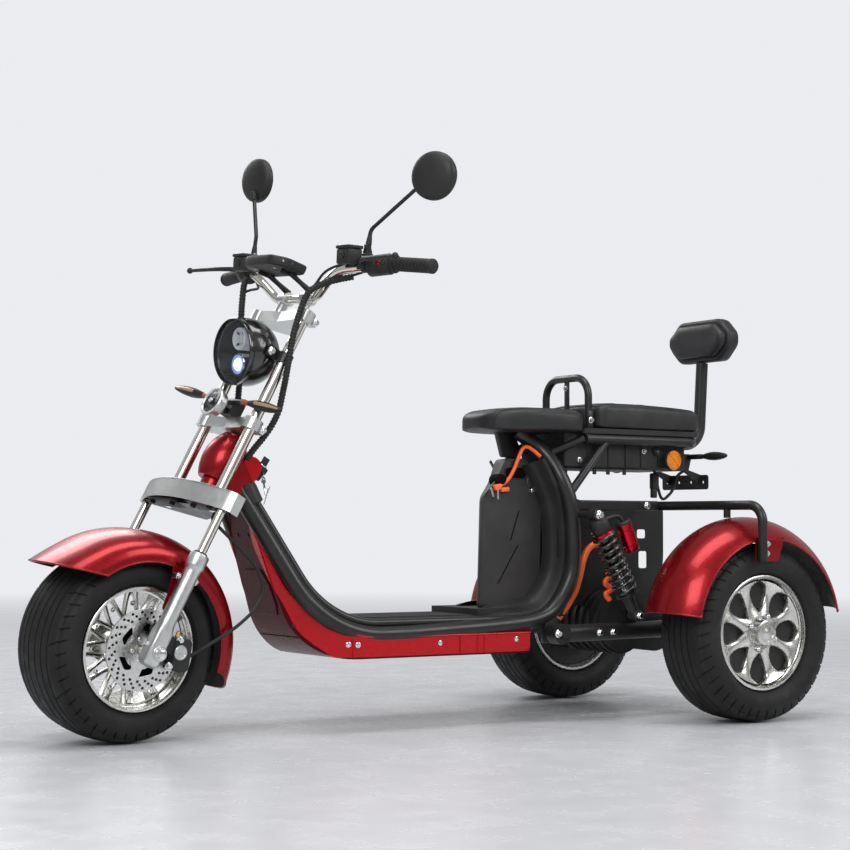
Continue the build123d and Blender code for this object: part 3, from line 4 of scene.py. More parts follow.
import bmesh
import bpy
from mathutils import Matrix, Vector, noise
from mathutils.bvhtree import BVHTree


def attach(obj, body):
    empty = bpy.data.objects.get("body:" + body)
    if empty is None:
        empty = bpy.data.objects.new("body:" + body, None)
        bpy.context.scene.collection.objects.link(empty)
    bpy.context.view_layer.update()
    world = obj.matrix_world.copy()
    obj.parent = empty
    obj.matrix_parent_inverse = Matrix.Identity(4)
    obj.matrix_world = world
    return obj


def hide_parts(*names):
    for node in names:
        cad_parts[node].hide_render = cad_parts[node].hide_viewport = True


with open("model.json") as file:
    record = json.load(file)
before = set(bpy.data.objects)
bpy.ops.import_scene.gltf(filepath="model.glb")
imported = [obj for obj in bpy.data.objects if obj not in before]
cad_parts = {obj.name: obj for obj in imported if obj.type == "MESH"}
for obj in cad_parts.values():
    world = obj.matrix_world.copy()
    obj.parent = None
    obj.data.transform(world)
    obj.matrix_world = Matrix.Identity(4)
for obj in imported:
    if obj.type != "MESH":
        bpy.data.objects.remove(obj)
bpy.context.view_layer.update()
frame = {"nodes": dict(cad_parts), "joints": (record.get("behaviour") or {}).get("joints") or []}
nodes = frame["nodes"]
joints = {j["name"]: j for j in frame["joints"]}
print("frame loaded:", len(nodes), "nodes")

# All sizes below are in millimetres from the ground under the rear axle: ahead, left, up.
originAhead = 741
stance = {
    "wheelbase": 1553, "frontAxleUp": 217.53, "rake": 28, "parkedSteer": 7.5, "rearTrack": 781,
    "rearAxleUp": 224.5}
toFrame = Matrix.Translation((-originAhead / 1000, 0, 0)) @ Matrix.Scale(0.001, 4)
steerPoint, steerAxis = Vector(joints["steer"]["pos_m"]), Vector(joints["steer"]["axis"])
frontTurn = (Matrix.Translation(steerPoint) @ Matrix.Rotation(radians(stance["parkedSteer"]), 4, steerAxis)
             @ Matrix.Translation(-steerPoint))
rakeSin, rakeCos = sin(radians(stance["rake"])), cos(radians(stance["rake"]))
axleFront = Vector((stance["wheelbase"], 0, stance["frontAxleUp"]))
axleRear = Vector((0, 0, stance["rearAxleUp"]))
moveTo = Matrix.Translation
xDir, yDir, zDir = Vector((1, 0, 0)), Vector((0, 1, 0)), Vector((0, 0, 1))
forkX, forkZ = Vector((rakeCos, 0, rakeSin)), Vector((-rakeSin, 0, rakeCos))


def forkPoint(ahead, left, up):
    return axleFront + forkX * ahead + yDir * left + forkZ * up


# camera and stage

photoView = {
    "place": (2.5675, 3.9735, 0.4929), "yaw": -123.08, "pitch": 3.03, "roll": 0.245, "focalPixels": 1879.5,
    "imagePixels": 850, "sensor": 36}


def makeCamera(v):
    yaw, pitch, roll = radians(v["yaw"]), radians(v["pitch"]), radians(v["roll"])
    look = Vector((cos(pitch) * cos(yaw), cos(pitch) * sin(yaw), sin(pitch)))
    right = look.cross(zDir).normalized()
    up = right.cross(look)
    right, up = right * cos(roll) + up * sin(roll), up * cos(roll) - right * sin(roll)
    data = bpy.data.cameras.new("photoCamera")
    data.sensor_width = v["sensor"]
    data.lens = v["focalPixels"] * v["sensor"] / v["imagePixels"]
    data.clip_end = 100
    cam = bpy.data.objects.new("photoCamera", data)
    turn = Matrix((right, up, -look)).transposed().to_4x4()
    cam.matrix_world = moveTo(v["place"]) @ turn
    bpy.context.scene.collection.objects.link(cam)
    bpy.context.scene.camera = cam


stage = {"floorRadius": 40, "floorColour": (0.62, 0.63, 0.65, 1), "floorRough": 0.22,
         "skyCamera": (0.83, 0.84, 0.87, 1),
         "skyLight": 0.42, "skyColour": (0.95, 0.96, 1.0, 1), "fade": (1.6, 9.0), "floorDrop": 0.0005,
         "roomTones": ((0.0, 0.16, 0.17), (0.9, 0.34, 0.35), (0.12, 0.22, 0.2244), (0.3, 0.52, 0.5304),
                       (0.62, 0.46, 0.4692)),  # height, grey, blue
         "lamps": [  # place, target, width, height, watts
             ((3.2, 3.4, 3.6), (0.0, 0.0, 0.5), 2.6, 2.6, 130),
             ((-2.6, 3.6, 3.2), (-0.4, 0.0, 0.5), 2.4, 2.4, 90),
             ((0.2, -3.6, 3.4), (0.0, 0.0, 0.6), 3.0, 2.0, 90),
             ((0.0, 0.6, 4.4), (0.0, 0.0, 0.4), 3.4, 1.6, 90)]}


def makeRoom(s):
    world = bpy.data.worlds.new("paleRoom")
    bpy.context.scene.world = world
    world.use_nodes = True
    tree = world.node_tree
    back = tree.nodes["Background"]
    path = tree.nodes.new("ShaderNodeLightPath")
    seen = tree.nodes.new("ShaderNodeMath")
    seen.operation = "MAXIMUM"
    tree.links.new(path.outputs["Is Camera Ray"], seen.inputs[0])
    tree.links.new(path.outputs["Is Transmission Ray"], seen.inputs[1])
    # the room as metal sees it: pale walls, a darker ceiling strip and floor line
    coord = tree.nodes.new("ShaderNodeTexCoord")
    split = tree.nodes.new("ShaderNodeSeparateXYZ")
    ramp = tree.nodes.new("ShaderNodeValToRGB")
    tree.links.new(coord.outputs["Generated"], split.inputs[0])
    tree.links.new(split.outputs["Z"], ramp.inputs[0])
    stops = ramp.color_ramp.elements
    for i, (height, grey, blue) in enumerate(s["roomTones"]):
        stop = stops[i] if i < 2 else stops.new(height)
        stop.position, stop.color = height, (grey, grey, blue, 1)
    glossy = tree.nodes.new("ShaderNodeBackground")
    tree.links.new(ramp.outputs["Color"], glossy.inputs["Color"])
    plain = tree.nodes.new("ShaderNodeBackground")
    plain.inputs["Color"].default_value = s["skyColour"]
    plain.inputs["Strength"].default_value = s["skyLight"]
    back.inputs["Color"].default_value = s["skyCamera"]
    mixGloss = tree.nodes.new("ShaderNodeMixShader")
    mixSeen = tree.nodes.new("ShaderNodeMixShader")
    tree.links.new(path.outputs["Is Glossy Ray"], mixGloss.inputs[0])
    tree.links.new(plain.outputs[0], mixGloss.inputs[1])
    tree.links.new(glossy.outputs[0], mixGloss.inputs[2])
    tree.links.new(seen.outputs[0], mixSeen.inputs[0])
    tree.links.new(mixGloss.outputs[0], mixSeen.inputs[1])
    tree.links.new(back.outputs[0], mixSeen.inputs[2])
    tree.links.new(mixSeen.outputs[0], tree.nodes["World Output"].inputs["Surface"])


def makeLamps(s):
    for i, (place, target, width, height, watts) in enumerate(s["lamps"]):
        data = bpy.data.lights.new(f"softBox{i}", "AREA")
        data.shape, data.size, data.size_y, data.energy = "RECTANGLE", width, height, watts
        lamp = bpy.data.objects.new(f"softBox{i}", data)
        lamp.location = place
        lamp.rotation_mode = "QUATERNION"
        lamp.rotation_quaternion = (Vector(target) - Vector(place)).to_track_quat("-Z", "Y")
        lamp.visible_camera = False
        bpy.context.scene.collection.objects.link(lamp)


def makeFloor(s):
    mesh = bpy.data.meshes.new("studioFloor")
    bm = bmesh.new()
    bmesh.ops.create_circle(bm, cap_ends=True, segments=96, radius=s["floorRadius"])
    bm.to_mesh(mesh)
    bm.free()
    floor = bpy.data.objects.new("studioFloor", mesh)
    floor.location.z = -s["floorDrop"]
    bpy.context.scene.collection.objects.link(floor)
    mat, tree, shader = newMaterial("floorPaint", s["floorColour"][:3], s["floorRough"])
    roughNoise(tree, shader, 9, s["floorRough"], s["floorRough"] + 0.08)
    # far from the middle the floor takes the sky's own colour
    coord = tree.nodes.new("ShaderNodeTexCoord")
    away = tree.nodes.new("ShaderNodeVectorMath")
    away.operation = "LENGTH"
    tree.links.new(coord.outputs["Object"], away.inputs[0])
    far = spread(tree, away.outputs["Value"], 0, 1, *s["fade"])
    glow = tree.nodes.new("ShaderNodeEmission")
    glow.inputs["Color"].default_value = s["skyCamera"]
    mix = tree.nodes.new("ShaderNodeMixShader")
    tree.links.new(far, mix.inputs[0])
    tree.links.new(shader.outputs[0], mix.inputs[1])
    tree.links.new(glow.outputs[0], mix.inputs[2])
    tree.links.new(mix.outputs[0], tree.nodes["Material Output"].inputs["Surface"])
    mesh.materials.append(mat)


# materials

def newMaterial(name, colour, rough, metal=0.0, coat=0.0, coatRough=0.03):
    mat = bpy.data.materials.new(name)
    mat.use_nodes = True
    tree = mat.node_tree
    shader = tree.nodes["Principled BSDF"]
    shader.inputs["Base Color"].default_value = (*colour, 1)
    shader.inputs["Roughness"].default_value = rough
    shader.inputs["Metallic"].default_value = metal
    shader.inputs["Coat Weight"].default_value = coat
    shader.inputs["Coat Roughness"].default_value = coatRough
    mat.diffuse_color = (*colour, 1)
    return mat, tree, shader


def noiseAt(tree, scale, detail=4, kind="ShaderNodeTexNoise"):
    coord = tree.nodes.new("ShaderNodeTexCoord")
    tex = tree.nodes.new(kind)
    tex.inputs["Scale"].default_value = scale
    if kind == "ShaderNodeTexNoise":
        tex.inputs["Detail"].default_value = detail
    tree.links.new(coord.outputs["Object"], tex.inputs["Vector"])
    return tex


def spread(tree, value, low, high, fromLow=0.3, fromHigh=0.7):
    node = tree.nodes.new("ShaderNodeMapRange")
    node.inputs["From Min"].default_value = fromLow
    node.inputs["From Max"].default_value = fromHigh
    node.inputs["To Min"].default_value = low
    node.inputs["To Max"].default_value = high
    tree.links.new(value, node.inputs["Value"])
    return node.outputs["Result"]


def roughNoise(tree, shader, scale, low, high, detail=5):
    tex = noiseAt(tree, scale, detail)
    tree.links.new(spread(tree, tex.outputs["Fac"], low, high), shader.inputs["Roughness"])


def colourNoise(tree, shader, scale, dark, light, detail=4, kind="ShaderNodeTexNoise"):
    tex = noiseAt(tree, scale, detail, kind)
    ramp = tree.nodes.new("ShaderNodeValToRGB")
    for stop, place, colour in zip(ramp.color_ramp.elements, (0.3, 0.72), (dark, light)):
        stop.position, stop.color = place, (*colour, 1)
    out = tex.outputs["Fac"] if kind == "ShaderNodeTexNoise" else tex.outputs["Distance"]
    tree.links.new(out, ramp.inputs["Fac"])
    tree.links.new(ramp.outputs["Color"], shader.inputs["Base Color"])


def bumpFrom(tree, shader, height, strength, distance, under=None):
    bump = tree.nodes.new("ShaderNodeBump")
    bump.inputs["Strength"].default_value = strength
    bump.inputs["Distance"].default_value = distance
    tree.links.new(height, bump.inputs["Height"])
    if under:
        tree.links.new(under.outputs["Normal"], bump.inputs["Normal"])
    tree.links.new(bump.outputs["Normal"], shader.inputs["Normal"])
    return bump


def candyPaint(name, dark, light, metal=0.75, coat=0.34, gloss=0.5):
    mat, tree, shader = newMaterial(name, light, 0.3, metal=metal, coat=coat, coatRough=0.04)
    shader.inputs["Specular IOR Level"].default_value = gloss
    colourNoise(tree, shader, 1500, dark, light, kind="ShaderNodeTexVoronoi")
    roughNoise(tree, shader, 60, 0.26, 0.34)
    peel = noiseAt(tree, 140, 2)
    bumpFrom(tree, shader, peel.outputs["Fac"], 0.02, 0.0008)
    return mat


def coatFinish(name, shade, rough, grainScale=900, grain=0.06, coat=0.15, gloss=0.34, tones=None):
    # near black, unless two tones are given
    dark, light = tones or ((shade * 0.75,) * 3, (shade * 1.35,) * 3)
    mat, tree, shader = newMaterial(name, (shade, shade, shade * 1.05), rough, coat=coat, coatRough=0.2)
    shader.inputs["Specular IOR Level"].default_value = gloss
    colourNoise(tree, shader, 14, dark, light, detail=6)
    roughNoise(tree, shader, 35, rough - 0.07, rough + 0.07)
    tex = noiseAt(tree, grainScale, 3)
    bumpFrom(tree, shader, tex.outputs["Fac"], grain, 0.0006)
    return mat


def metalFinish(name, colour, rough, spreadBy=0.05, scale=40, grain=0.0, grainScale=600):
    mat, tree, shader = newMaterial(name, colour, rough, metal=1.0)
    colourNoise(tree, shader, 18, tuple(c * 0.93 for c in colour), colour, detail=5)
    roughNoise(tree, shader, scale, max(0.02, rough - spreadBy), rough + spreadBy)
    if grain:
        tex = noiseAt(tree, grainScale, 3)
        bumpFrom(tree, shader, tex.outputs["Fac"], grain, 0.0006)
    return mat


def leatherFinish(name):
    mat, tree, shader = newMaterial(name, (0.016, 0.016, 0.017), 0.45)
    shader.inputs["Specular IOR Level"].default_value = 0.36
    colourNoise(tree, shader, 20, (0.011, 0.011, 0.012), (0.022, 0.022, 0.023), detail=6)
    roughNoise(tree, shader, 90, 0.38, 0.54)
    grain = noiseAt(tree, 520, kind="ShaderNodeTexVoronoi")
    first = bumpFrom(tree, shader, grain.outputs["Distance"], 0.22, 0.0009)
    fold = noiseAt(tree, 34, 4)
    bumpFrom(tree, shader, fold.outputs["Fac"], 0.1, 0.004, under=first)
    return mat


def tyreFinish(name, shade=0.011):
    mat, tree, shader = newMaterial(name, (shade,) * 3, 0.62)
    shader.inputs["Specular IOR Level"].default_value = 0.24
    colourNoise(tree, shader, 11, (shade * 0.8,) * 3, (shade * 1.7,) * 3, detail=8)
    roughNoise(tree, shader, 50, 0.5, 0.72, detail=6)
    tex = noiseAt(tree, 700, 4)
    bumpFrom(tree, shader, tex.outputs["Fac"], 0.12, 0.0007)
    return mat


def clearFinish(name, colour, rough=0.02, ior=1.5, through=1.0, cover=1.0):
    mat, tree, shader = newMaterial(name, colour, rough)
    shader.inputs["Transmission Weight"].default_value = through
    shader.inputs["IOR"].default_value = ior
    shader.inputs["Alpha"].default_value = cover
    roughNoise(tree, shader, 80, max(0.0, rough - 0.015), rough + 0.02)
    return mat


def glowFinish(name, colour, strength):
    mat, tree, shader = newMaterial(name, colour, 0.3)
    shader.inputs["Emission Color"].default_value = (*colour, 1)
    shader.inputs["Emission Strength"].default_value = strength
    roughNoise(tree, shader, 60, 0.2, 0.4, 2)
    return mat


candyRed = candyPaint("candyRed", (0.18, 0.001, 0.004), (0.36, 0.002, 0.007), 0.7, 0.2)
fenderInside = coatFinish("fenderInside", 0.05, 0.55, 300, 0.1)
frameBlack = coatFinish("frameBlack", 0.013, 0.36)
plasticBlack = coatFinish("plasticBlack", 0.015, 0.5, 1400, 0.18, 0.0)
batteryBlack = coatFinish("batteryBlack", 0.022, 0.44, 1100, 0.16, 0.05, 0.5)
glossBlack = coatFinish("glossBlack", 0.008, 0.14, 120, 0.01, 0.8, 0.5)
castBlack = coatFinish("castBlack", 0.018, 0.46, 420, 0.25, 0.0)
rubberBlack = coatFinish("rubberBlack", 0.014, 0.62, 800, 0.15, 0.0)
tyreRubber = tyreFinish("tyreRubber")
seatLeather = leatherFinish("seatLeather")

castSilver = metalFinish("castSilver", (0.60, 0.62, 0.61), 0.36, 0.06, 60, grain=0.12, grainScale=700)
warmChrome = metalFinish("warmChrome", (0.80, 0.77, 0.71), 0.09, 0.03, 30)


discSteel = metalFinish("discSteel", (0.70, 0.70, 0.69), 0.3, 0.08, 160, grain=0.06, grainScale=1500)
boltSteel = metalFinish("boltSteel", (0.72, 0.73, 0.75), 0.22, 0.06, 200)
redAnodised = metalFinish("redAnodised", (0.55, 0.012, 0.03), 0.25, 0.05, 90)
mirrorGlass = metalFinish("mirrorGlass", (0.88, 0.9, 0.92), 0.03, 0.01, 20)
lampGlass = clearFinish("lampGlass", (0.10, 0.11, 0.12), 0.03, 1.5, 0.0, 0.14)
amberLens = clearFinish("amberLens", (0.95, 0.30, 0.015), 0.12, 1.5, 0.25)
paleLens = clearFinish("paleLens", (0.60, 0.40, 0.24), 0.14, 1.5, 0.45)
redLens = clearFinish("redLens", (0.55, 0.008, 0.01), 0.12, 1.5, 0.25)
clearLens = clearFinish("clearLens", (0.85, 0.84, 0.8), 0.15, 1.5, 0.5)
screenGlass = coatFinish("screenGlass", 0.004, 0.08, 60, 0.0, 1.0)
cableOrange = coatFinish("cableOrange", 0.5, 0.42, 700, 0.1, 0.1, 0.5,
                         ((0.86, 0.10, 0.012), (1.0, 0.17, 0.03)))
lampGlow = glowFinish("lampGlow", (0.86, 0.93, 1.0), 3.0)
lampHalo = glowFinish("lampHalo", (0.30, 0.45, 0.95), 0.9)
# a faint glow for the unlit projector's barrel and facets: painted light
paintedProjectorGlow = glowFinish("paintedProjectorGlow", (0.50, 0.53, 0.58), 0.3)
satinAlloy = metalFinish("satinAlloy", (0.66, 0.655, 0.625), 0.26, 0.05, 90, grain=0.02, grainScale=900)
# near black without shine: dark joint lines, and painted shade in holes and recesses
seamAndPaintedShade = coatFinish("seamAndPaintedShade", 0.004, 0.8, coat=0.0, gloss=0.05)
# the red paint made brighter, a painted light, for the skirts and the neck collars
paintedLightRed = candyPaint("paintedLightRed", (0.30, 0.001, 0.004), (0.62, 0.002, 0.008), 0.35, 0.3, 0.25)
# the red paint made darker and without shine, a painted shade, for the belly's front panel
paintedShadeRed = candyPaint("paintedShadeRed", (0.045, 0.002, 0.004), (0.075, 0.003, 0.006), 0.0, 0.0, 0.08)
amberRib = coatFinish("amberRib", 0.5, 0.3, 500, 0.1, 0.2, tones=((0.55, 0.14, 0.008), (0.68, 0.20, 0.012)))
indicatorNeck = coatFinish("indicatorNeck", 0.3, 0.5, 700, 0.1, 0.0,
                           tones=((0.24, 0.07, 0.02), (0.34, 0.11, 0.04)))
lampReflector = metalFinish("lampReflector", (0.62, 0.64, 0.68), 0.14, 0.05, 60)
brass = metalFinish("brass", (0.72, 0.5, 0.2), 0.3)


makeCamera(photoView)
makeRoom(stage)
makeLamps(stage)
makeFloor(stage)
bpy.context.scene.view_settings.view_transform = "Standard"
print("camera, stage and materials made")


# small mesh tools: each adds to a bmesh, in millimetres

def asVector(p):
    return p if isinstance(p, Vector) else Vector(p)


def sideways(axis):
    other = zDir if abs(axis.z) < 0.9 else xDir
    u = axis.cross(other).normalized()
    return u, axis.cross(u).normalized()


def addGrid(bm, rows, wrapU=False, wrapV=False, mat=0, flip=False):
    verts = [[bm.verts.new(p) for p in row] for row in rows]
    count, width = len(rows), len(rows[0])
    for i in range(count if wrapU else count - 1):
        for j in range(width if wrapV else width - 1):
            a, b = verts[i][j], verts[i][(j + 1) % width]
            c, d = verts[(i + 1) % count][(j + 1) % width], verts[(i + 1) % count][j]
            face = bm.faces.new((a, d, c, b) if flip else (a, b, c, d))
            face.material_index = mat
    return verts


def addLathe(bm, profile, place, axis, steps=48, mat=0, closed=False):
    # profile: along the axis, out from it
    place, axis = asVector(place), asVector(axis).normalized()
    u, v = sideways(axis)
    rows = []
    for k in range(steps):
        turn = 2 * pi * k / steps
        out = u * cos(turn) + v * sin(turn)
        rows.append([place + axis * a + out * max(r, 0.02) for a, r in profile])
    verts = addGrid(bm, rows, wrapU=True, wrapV=closed, mat=mat)
    if not closed:
        for j in (0, len(profile) - 1):
            ring = [row[j] for row in verts]
            if profile[j][1] > 0.05:
                face = bm.faces.new(ring if j == 0 else list(reversed(ring)))
                face.material_index = mat


def addTube(bm, points, radius, sides=14, mat=0, closed=False, caps=True, flat=1.0, upHint=None):
    points = [asVector(p) for p in points]
    count = len(points)
    radii = radius if isinstance(radius, (list, tuple)) else [radius] * count
    tangents = []
    for i in range(count):
        a = points[i - 1] if i or closed else points[0]
        b = points[(i + 1) % count] if i < count - 1 or closed else points[-1]
        tangents.append((b - a).normalized())
    u = (upHint - tangents[0] * upHint.dot(tangents[0])).normalized() if upHint else sideways(tangents[0])[0]
    rows = []
    for i in range(count):
        u = (u - tangents[i] * u.dot(tangents[i])).normalized()
        v = tangents[i].cross(u)
        rows.append([points[i] + (u * cos(2 * pi * k / sides) + v * sin(2 * pi * k / sides) * flat) * radii[i]
                     for k in range(sides)])
    verts = addGrid(bm, rows, wrapU=closed, wrapV=True, mat=mat)
    if caps and not closed:
        for ring in (list(reversed(verts[0])), verts[-1]):
            bm.faces.new(ring).material_index = mat


def roundPath(points, radii, step=5):
    # straight runs with an arc at each corner, for bent bars
    points = [asVector(p) for p in points]
    path = [points[0]]
    for before, here, after, radius in zip(points, points[1:], points[2:], radii):
        a, b = (before - here).normalized(), (after - here).normalized()
        half = acos(max(-1, min(1, a.dot(b)))) / 2
        cut = radius / tan(half)
        middle = here + (a + b).normalized() * (radius / sin(half))
        start, end = here + a * cut, here + b * cut
        sweep = pi - 2 * half
        count = max(2, int(sweep / radians(step)))
        p, q = (start - middle), (end - middle)
        for k in range(count + 1):
            t = k / count
            w = (p * sin((1 - t) * sweep) + q * sin(t * sweep)) / sin(sweep)
            path.append(middle + w)
    path.append(points[-1])
    return path


def addBox(bm, size, matrix, bevel=2, segments=2, mat=0):
    made = bmesh.ops.create_cube(bm, size=1)
    verts = made["verts"]
    bmesh.ops.transform(bm, matrix=matrix @ Matrix.Diagonal((*size, 1)), verts=verts)
    faces = {f for v in verts for f in v.link_faces}
    if bevel:
        edges = list(dict.fromkeys(e for v in verts for e in v.link_edges))
        done = bmesh.ops.bevel(bm, geom=edges, offset=bevel, segments=segments, profile=0.5, affect="EDGES")
        faces = {f for f in faces if f.is_valid} | set(done["faces"])
        faces |= {f for v in done["verts"] for f in v.link_faces}
    for f in faces:
        f.material_index = mat


def addPlate(bm, outline, thick, matrix, holes=(), bevel=0.8, mat=0):
    # a flat plate with holes, its middle plane at local z 0
    curve = bpy.data.curves.new("plateOutline", "CURVE")
    curve.dimensions, curve.fill_mode = "2D", "BOTH"
    curve.extrude, curve.bevel_depth, curve.bevel_resolution = max(thick / 2 - bevel, 0.01), bevel, 1
    curve.offset = -bevel
    for loop in (outline, *holes):
        spline = curve.splines.new("POLY")
        spline.points.add(len(loop) - 1)
        for point, (x, y) in zip(spline.points, loop):
            point.co = (x, y, 0, 1)
        spline.use_cyclic_u = True
    holder = bpy.data.objects.new("plateOutline", curve)
    bpy.context.scene.collection.objects.link(holder)
    bpy.context.view_layer.update()
    mesh = bpy.data.meshes.new_from_object(holder.evaluated_get(bpy.context.evaluated_depsgraph_get()))
    mesh.transform(matrix)
    before = set(bm.faces)
    bm.from_mesh(mesh)
    for f in set(bm.faces) - before:
        f.material_index = mat
    bpy.data.objects.remove(holder)
    bpy.data.curves.remove(curve)
    bpy.data.meshes.remove(mesh)


def ring2d(radius, steps=24, middle=(0, 0), start=0):
    return [(middle[0] + radius * cos(start + 2 * pi * k / steps),
             middle[1] + radius * sin(start + 2 * pi * k / steps)) for k in range(steps)]


def softCorners(points, radius, steps=5):
    # a closed 2D outline with rounded corners
    out, count = [], len(points)
    for i in range(count):
        a, b, c = Vector(points[i - 1]), Vector(points[i]), Vector(points[(i + 1) % count])
        r = radius[i] if isinstance(radius, (list, tuple)) else radius
        p, q = (a - b), (c - b)
        cut = min(r, p.length * 0.49, q.length * 0.49)
        start, end = b + p.normalized() * cut, b + q.normalized() * cut
        for k in range(steps + 1):
            t = k / steps
            out.append(tuple(start * (1 - t) ** 2 + b * 2 * t * (1 - t) + end * t * t))
    return out


def planeMatrix(place, normal, up=zDir):
    normal = asVector(normal).normalized()
    y = (up - normal * up.dot(normal))
    y = y.normalized() if y.length > 1e-4 else sideways(normal)[0]
    x = y.cross(normal)
    m = Matrix((x, y, normal)).transposed().to_4x4()
    m.translation = asVector(place)
    return m


def addBolt(bm, place, direction, across=11, head=6, mat=0, washer=True):
    # hexagon head on a washer
    direction = asVector(direction).normalized()
    place = asVector(place)
    lift = 0
    if washer:
        addLathe(bm, [(-0.5, across * 0.75), (1.2, across * 0.75), (1.6, across * 0.68), (1.6, 0)], place,
                 direction, 20, mat)
        lift = 1.5
    r = across / sqrt(3)
    addLathe(bm, [(lift, r), (lift + head - 1, r), (lift + head, r * 0.86), (lift + head, 0)], place,
             direction, 6, mat)


def addDome(bm, place, direction, radius, height, mat=0, steps=18):
    profile = [(-0.5, radius)] + [(height * sin(t), radius * cos(t)) for t in (k * pi / 12 for k in range(7))]
    addLathe(bm, profile, place, direction, steps, mat)


def toPiece(bm, name, mats, body, node=None, angle=32, bevel=0):
    # pieces of the front end are given straight ahead and turned here to the parked steering
    bmesh.ops.recalc_face_normals(bm, faces=bm.faces)
    mesh = bpy.data.meshes.new(name)
    bm.to_mesh(mesh)
    bm.free()
    mesh.transform(frontTurn @ toFrame if body in ("steering", "front_wheel") else toFrame)
    for mat in mats if isinstance(mats, (list, tuple)) else [mats]:
        mesh.materials.append(mat)
    mesh.shade_smooth()
    mesh.set_sharp_from_angle(angle=radians(angle))
    piece = bpy.data.objects.new(name, mesh)
    bpy.context.scene.collection.objects.link(piece)
    if bevel:
        mod = piece.modifiers.new("softEdges", "BEVEL")
        mod.width, mod.segments, mod.limit_method, mod.angle_limit = bevel / 1000, 2, "ANGLE", radians(40)
    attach(piece, body)
    if node:
        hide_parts(node)
    return piece


def smoothRun(points, every=3.0):
    # an even run of points through the given ones
    points = [asVector(p) for p in points]
    ends = [points[0] * 2 - points[1], *points, points[-1] * 2 - points[-2]]
    out = []
    for a, b, c, e in zip(ends, ends[1:], ends[2:], ends[3:]):
        count = max(2, int((c - b).length / every))
        for k in range(count):
            t = k / count
            out.append(0.5 * ((2 * b) + (c - a) * t + (2 * a - 5 * b + 4 * c - e) * t ** 2
                              + (3 * b - a - 3 * c + e) * t ** 3))
    return out + [points[-1]]


def smoothStep(t):
    t = max(0.0, min(1.0, t))
    return t * t * (3 - 2 * t)


def arcThrough(a, b, c, steps):
    # points of the arc from a over b to c
    ax, ay = a
    bx, by = b
    cx, cy = c
    d = 2 * (ax * (by - cy) + bx * (cy - ay) + cx * (ay - by))
    ux = ((ax**2 + ay**2) * (by - cy) + (bx**2 + by**2) * (cy - ay) + (cx**2 + cy**2) * (ay - by)) / d
    uy = ((ax**2 + ay**2) * (cx - bx) + (bx**2 + by**2) * (ax - cx) + (cx**2 + cy**2) * (bx - ax)) / d
    r = sqrt((ax - ux) ** 2 + (ay - uy) ** 2)
    t0, t1, t2 = atan2(ay - uy, ax - ux), atan2(by - uy, bx - ux), atan2(cy - uy, cx - ux)
    t1 -= 2 * pi * round((t1 - t0) / (2 * pi))
    t2 -= 2 * pi * round((t2 - t1) / (2 * pi))
    return [(ux + r * cos(t0 + (t2 - t0) * k / steps), uy + r * sin(t0 + (t2 - t0) * k / steps))
            for k in range(steps + 1)]


def squareRing(place, a, b, halfA, halfB, power, steps=40):
    # a rounded square section
    ring = []
    for k in range(steps):
        t = 2 * pi * k / steps
        ring.append(place + a * halfA * abs(cos(t)) ** (2 / power) * (1 if cos(t) >= 0 else -1)
                    + b * halfB * abs(sin(t)) ** (2 / power) * (1 if sin(t) >= 0 else -1))
    return ring


def addLoft(bm, rings, mat=0):
    verts = addGrid(bm, rings, wrapV=True, mat=mat)
    bm.faces.new(list(reversed(verts[0]))).material_index = mat
    bm.faces.new(verts[-1]).material_index = mat


def through(table, x):
    # a smooth curve through the table's points
    table = sorted(table)
    if x <= table[0][0]:
        return table[0][1]
    for i in range(len(table) - 1):
        (x0, y0), (x1, y1) = table[i], table[i + 1]
        if x <= x1:
            before = table[i - 1] if i else table[0]
            after = table[i + 2] if i + 2 < len(table) else table[-1]
            m0 = (y1 - before[1]) / (x1 - before[0])
            m1 = (after[1] - y0) / (after[0] - x0)
            t, h = (x - x0) / (x1 - x0), x1 - x0
            return (y0 * (1 + 2 * t) * (1 - t) ** 2 + m0 * h * t * (1 - t) ** 2 + y1 * t * t * (3 - 2 * t)
                    + m1 * h * t * t * (t - 1))
    return table[-1][1]


# tyres: ribbed crown with hooked grooves over the shoulders

frontTyre = {
    "piece": "frontTyreTread", "node": "front_tyre", "body": "front_wheel", "radius": 217, "width": 212,
    "crown": 420, "lip": 141, "rimWidth": 190, "ribs": (14, 38, 60), "ribWidth": 4.5, "ribDepth": 4.5,
    "hooks": 44, "longEvery": 4, "longFrom": 63, "shortFrom": 84, "hookDepth": 3.4, "lean": 0.55}
rearTyre = {
    "radius": 224.5, "width": 180, "crown": 520, "lip": 145, "rimWidth": 144, "ribs": (12, 34), "ribWidth": 4,
    "ribDepth": 4, "hooks": 44, "longEvery": 4, "longFrom": 37, "shortFrom": 64, "hookDepth": 3.2,
    "lean": 0.5}
# share of a pitch, cut or not
hookColumns = ((0.0, 0), (0.3, 0), (0.345, 1), (0.43, 1), (0.475, 0), (0.74, 0))


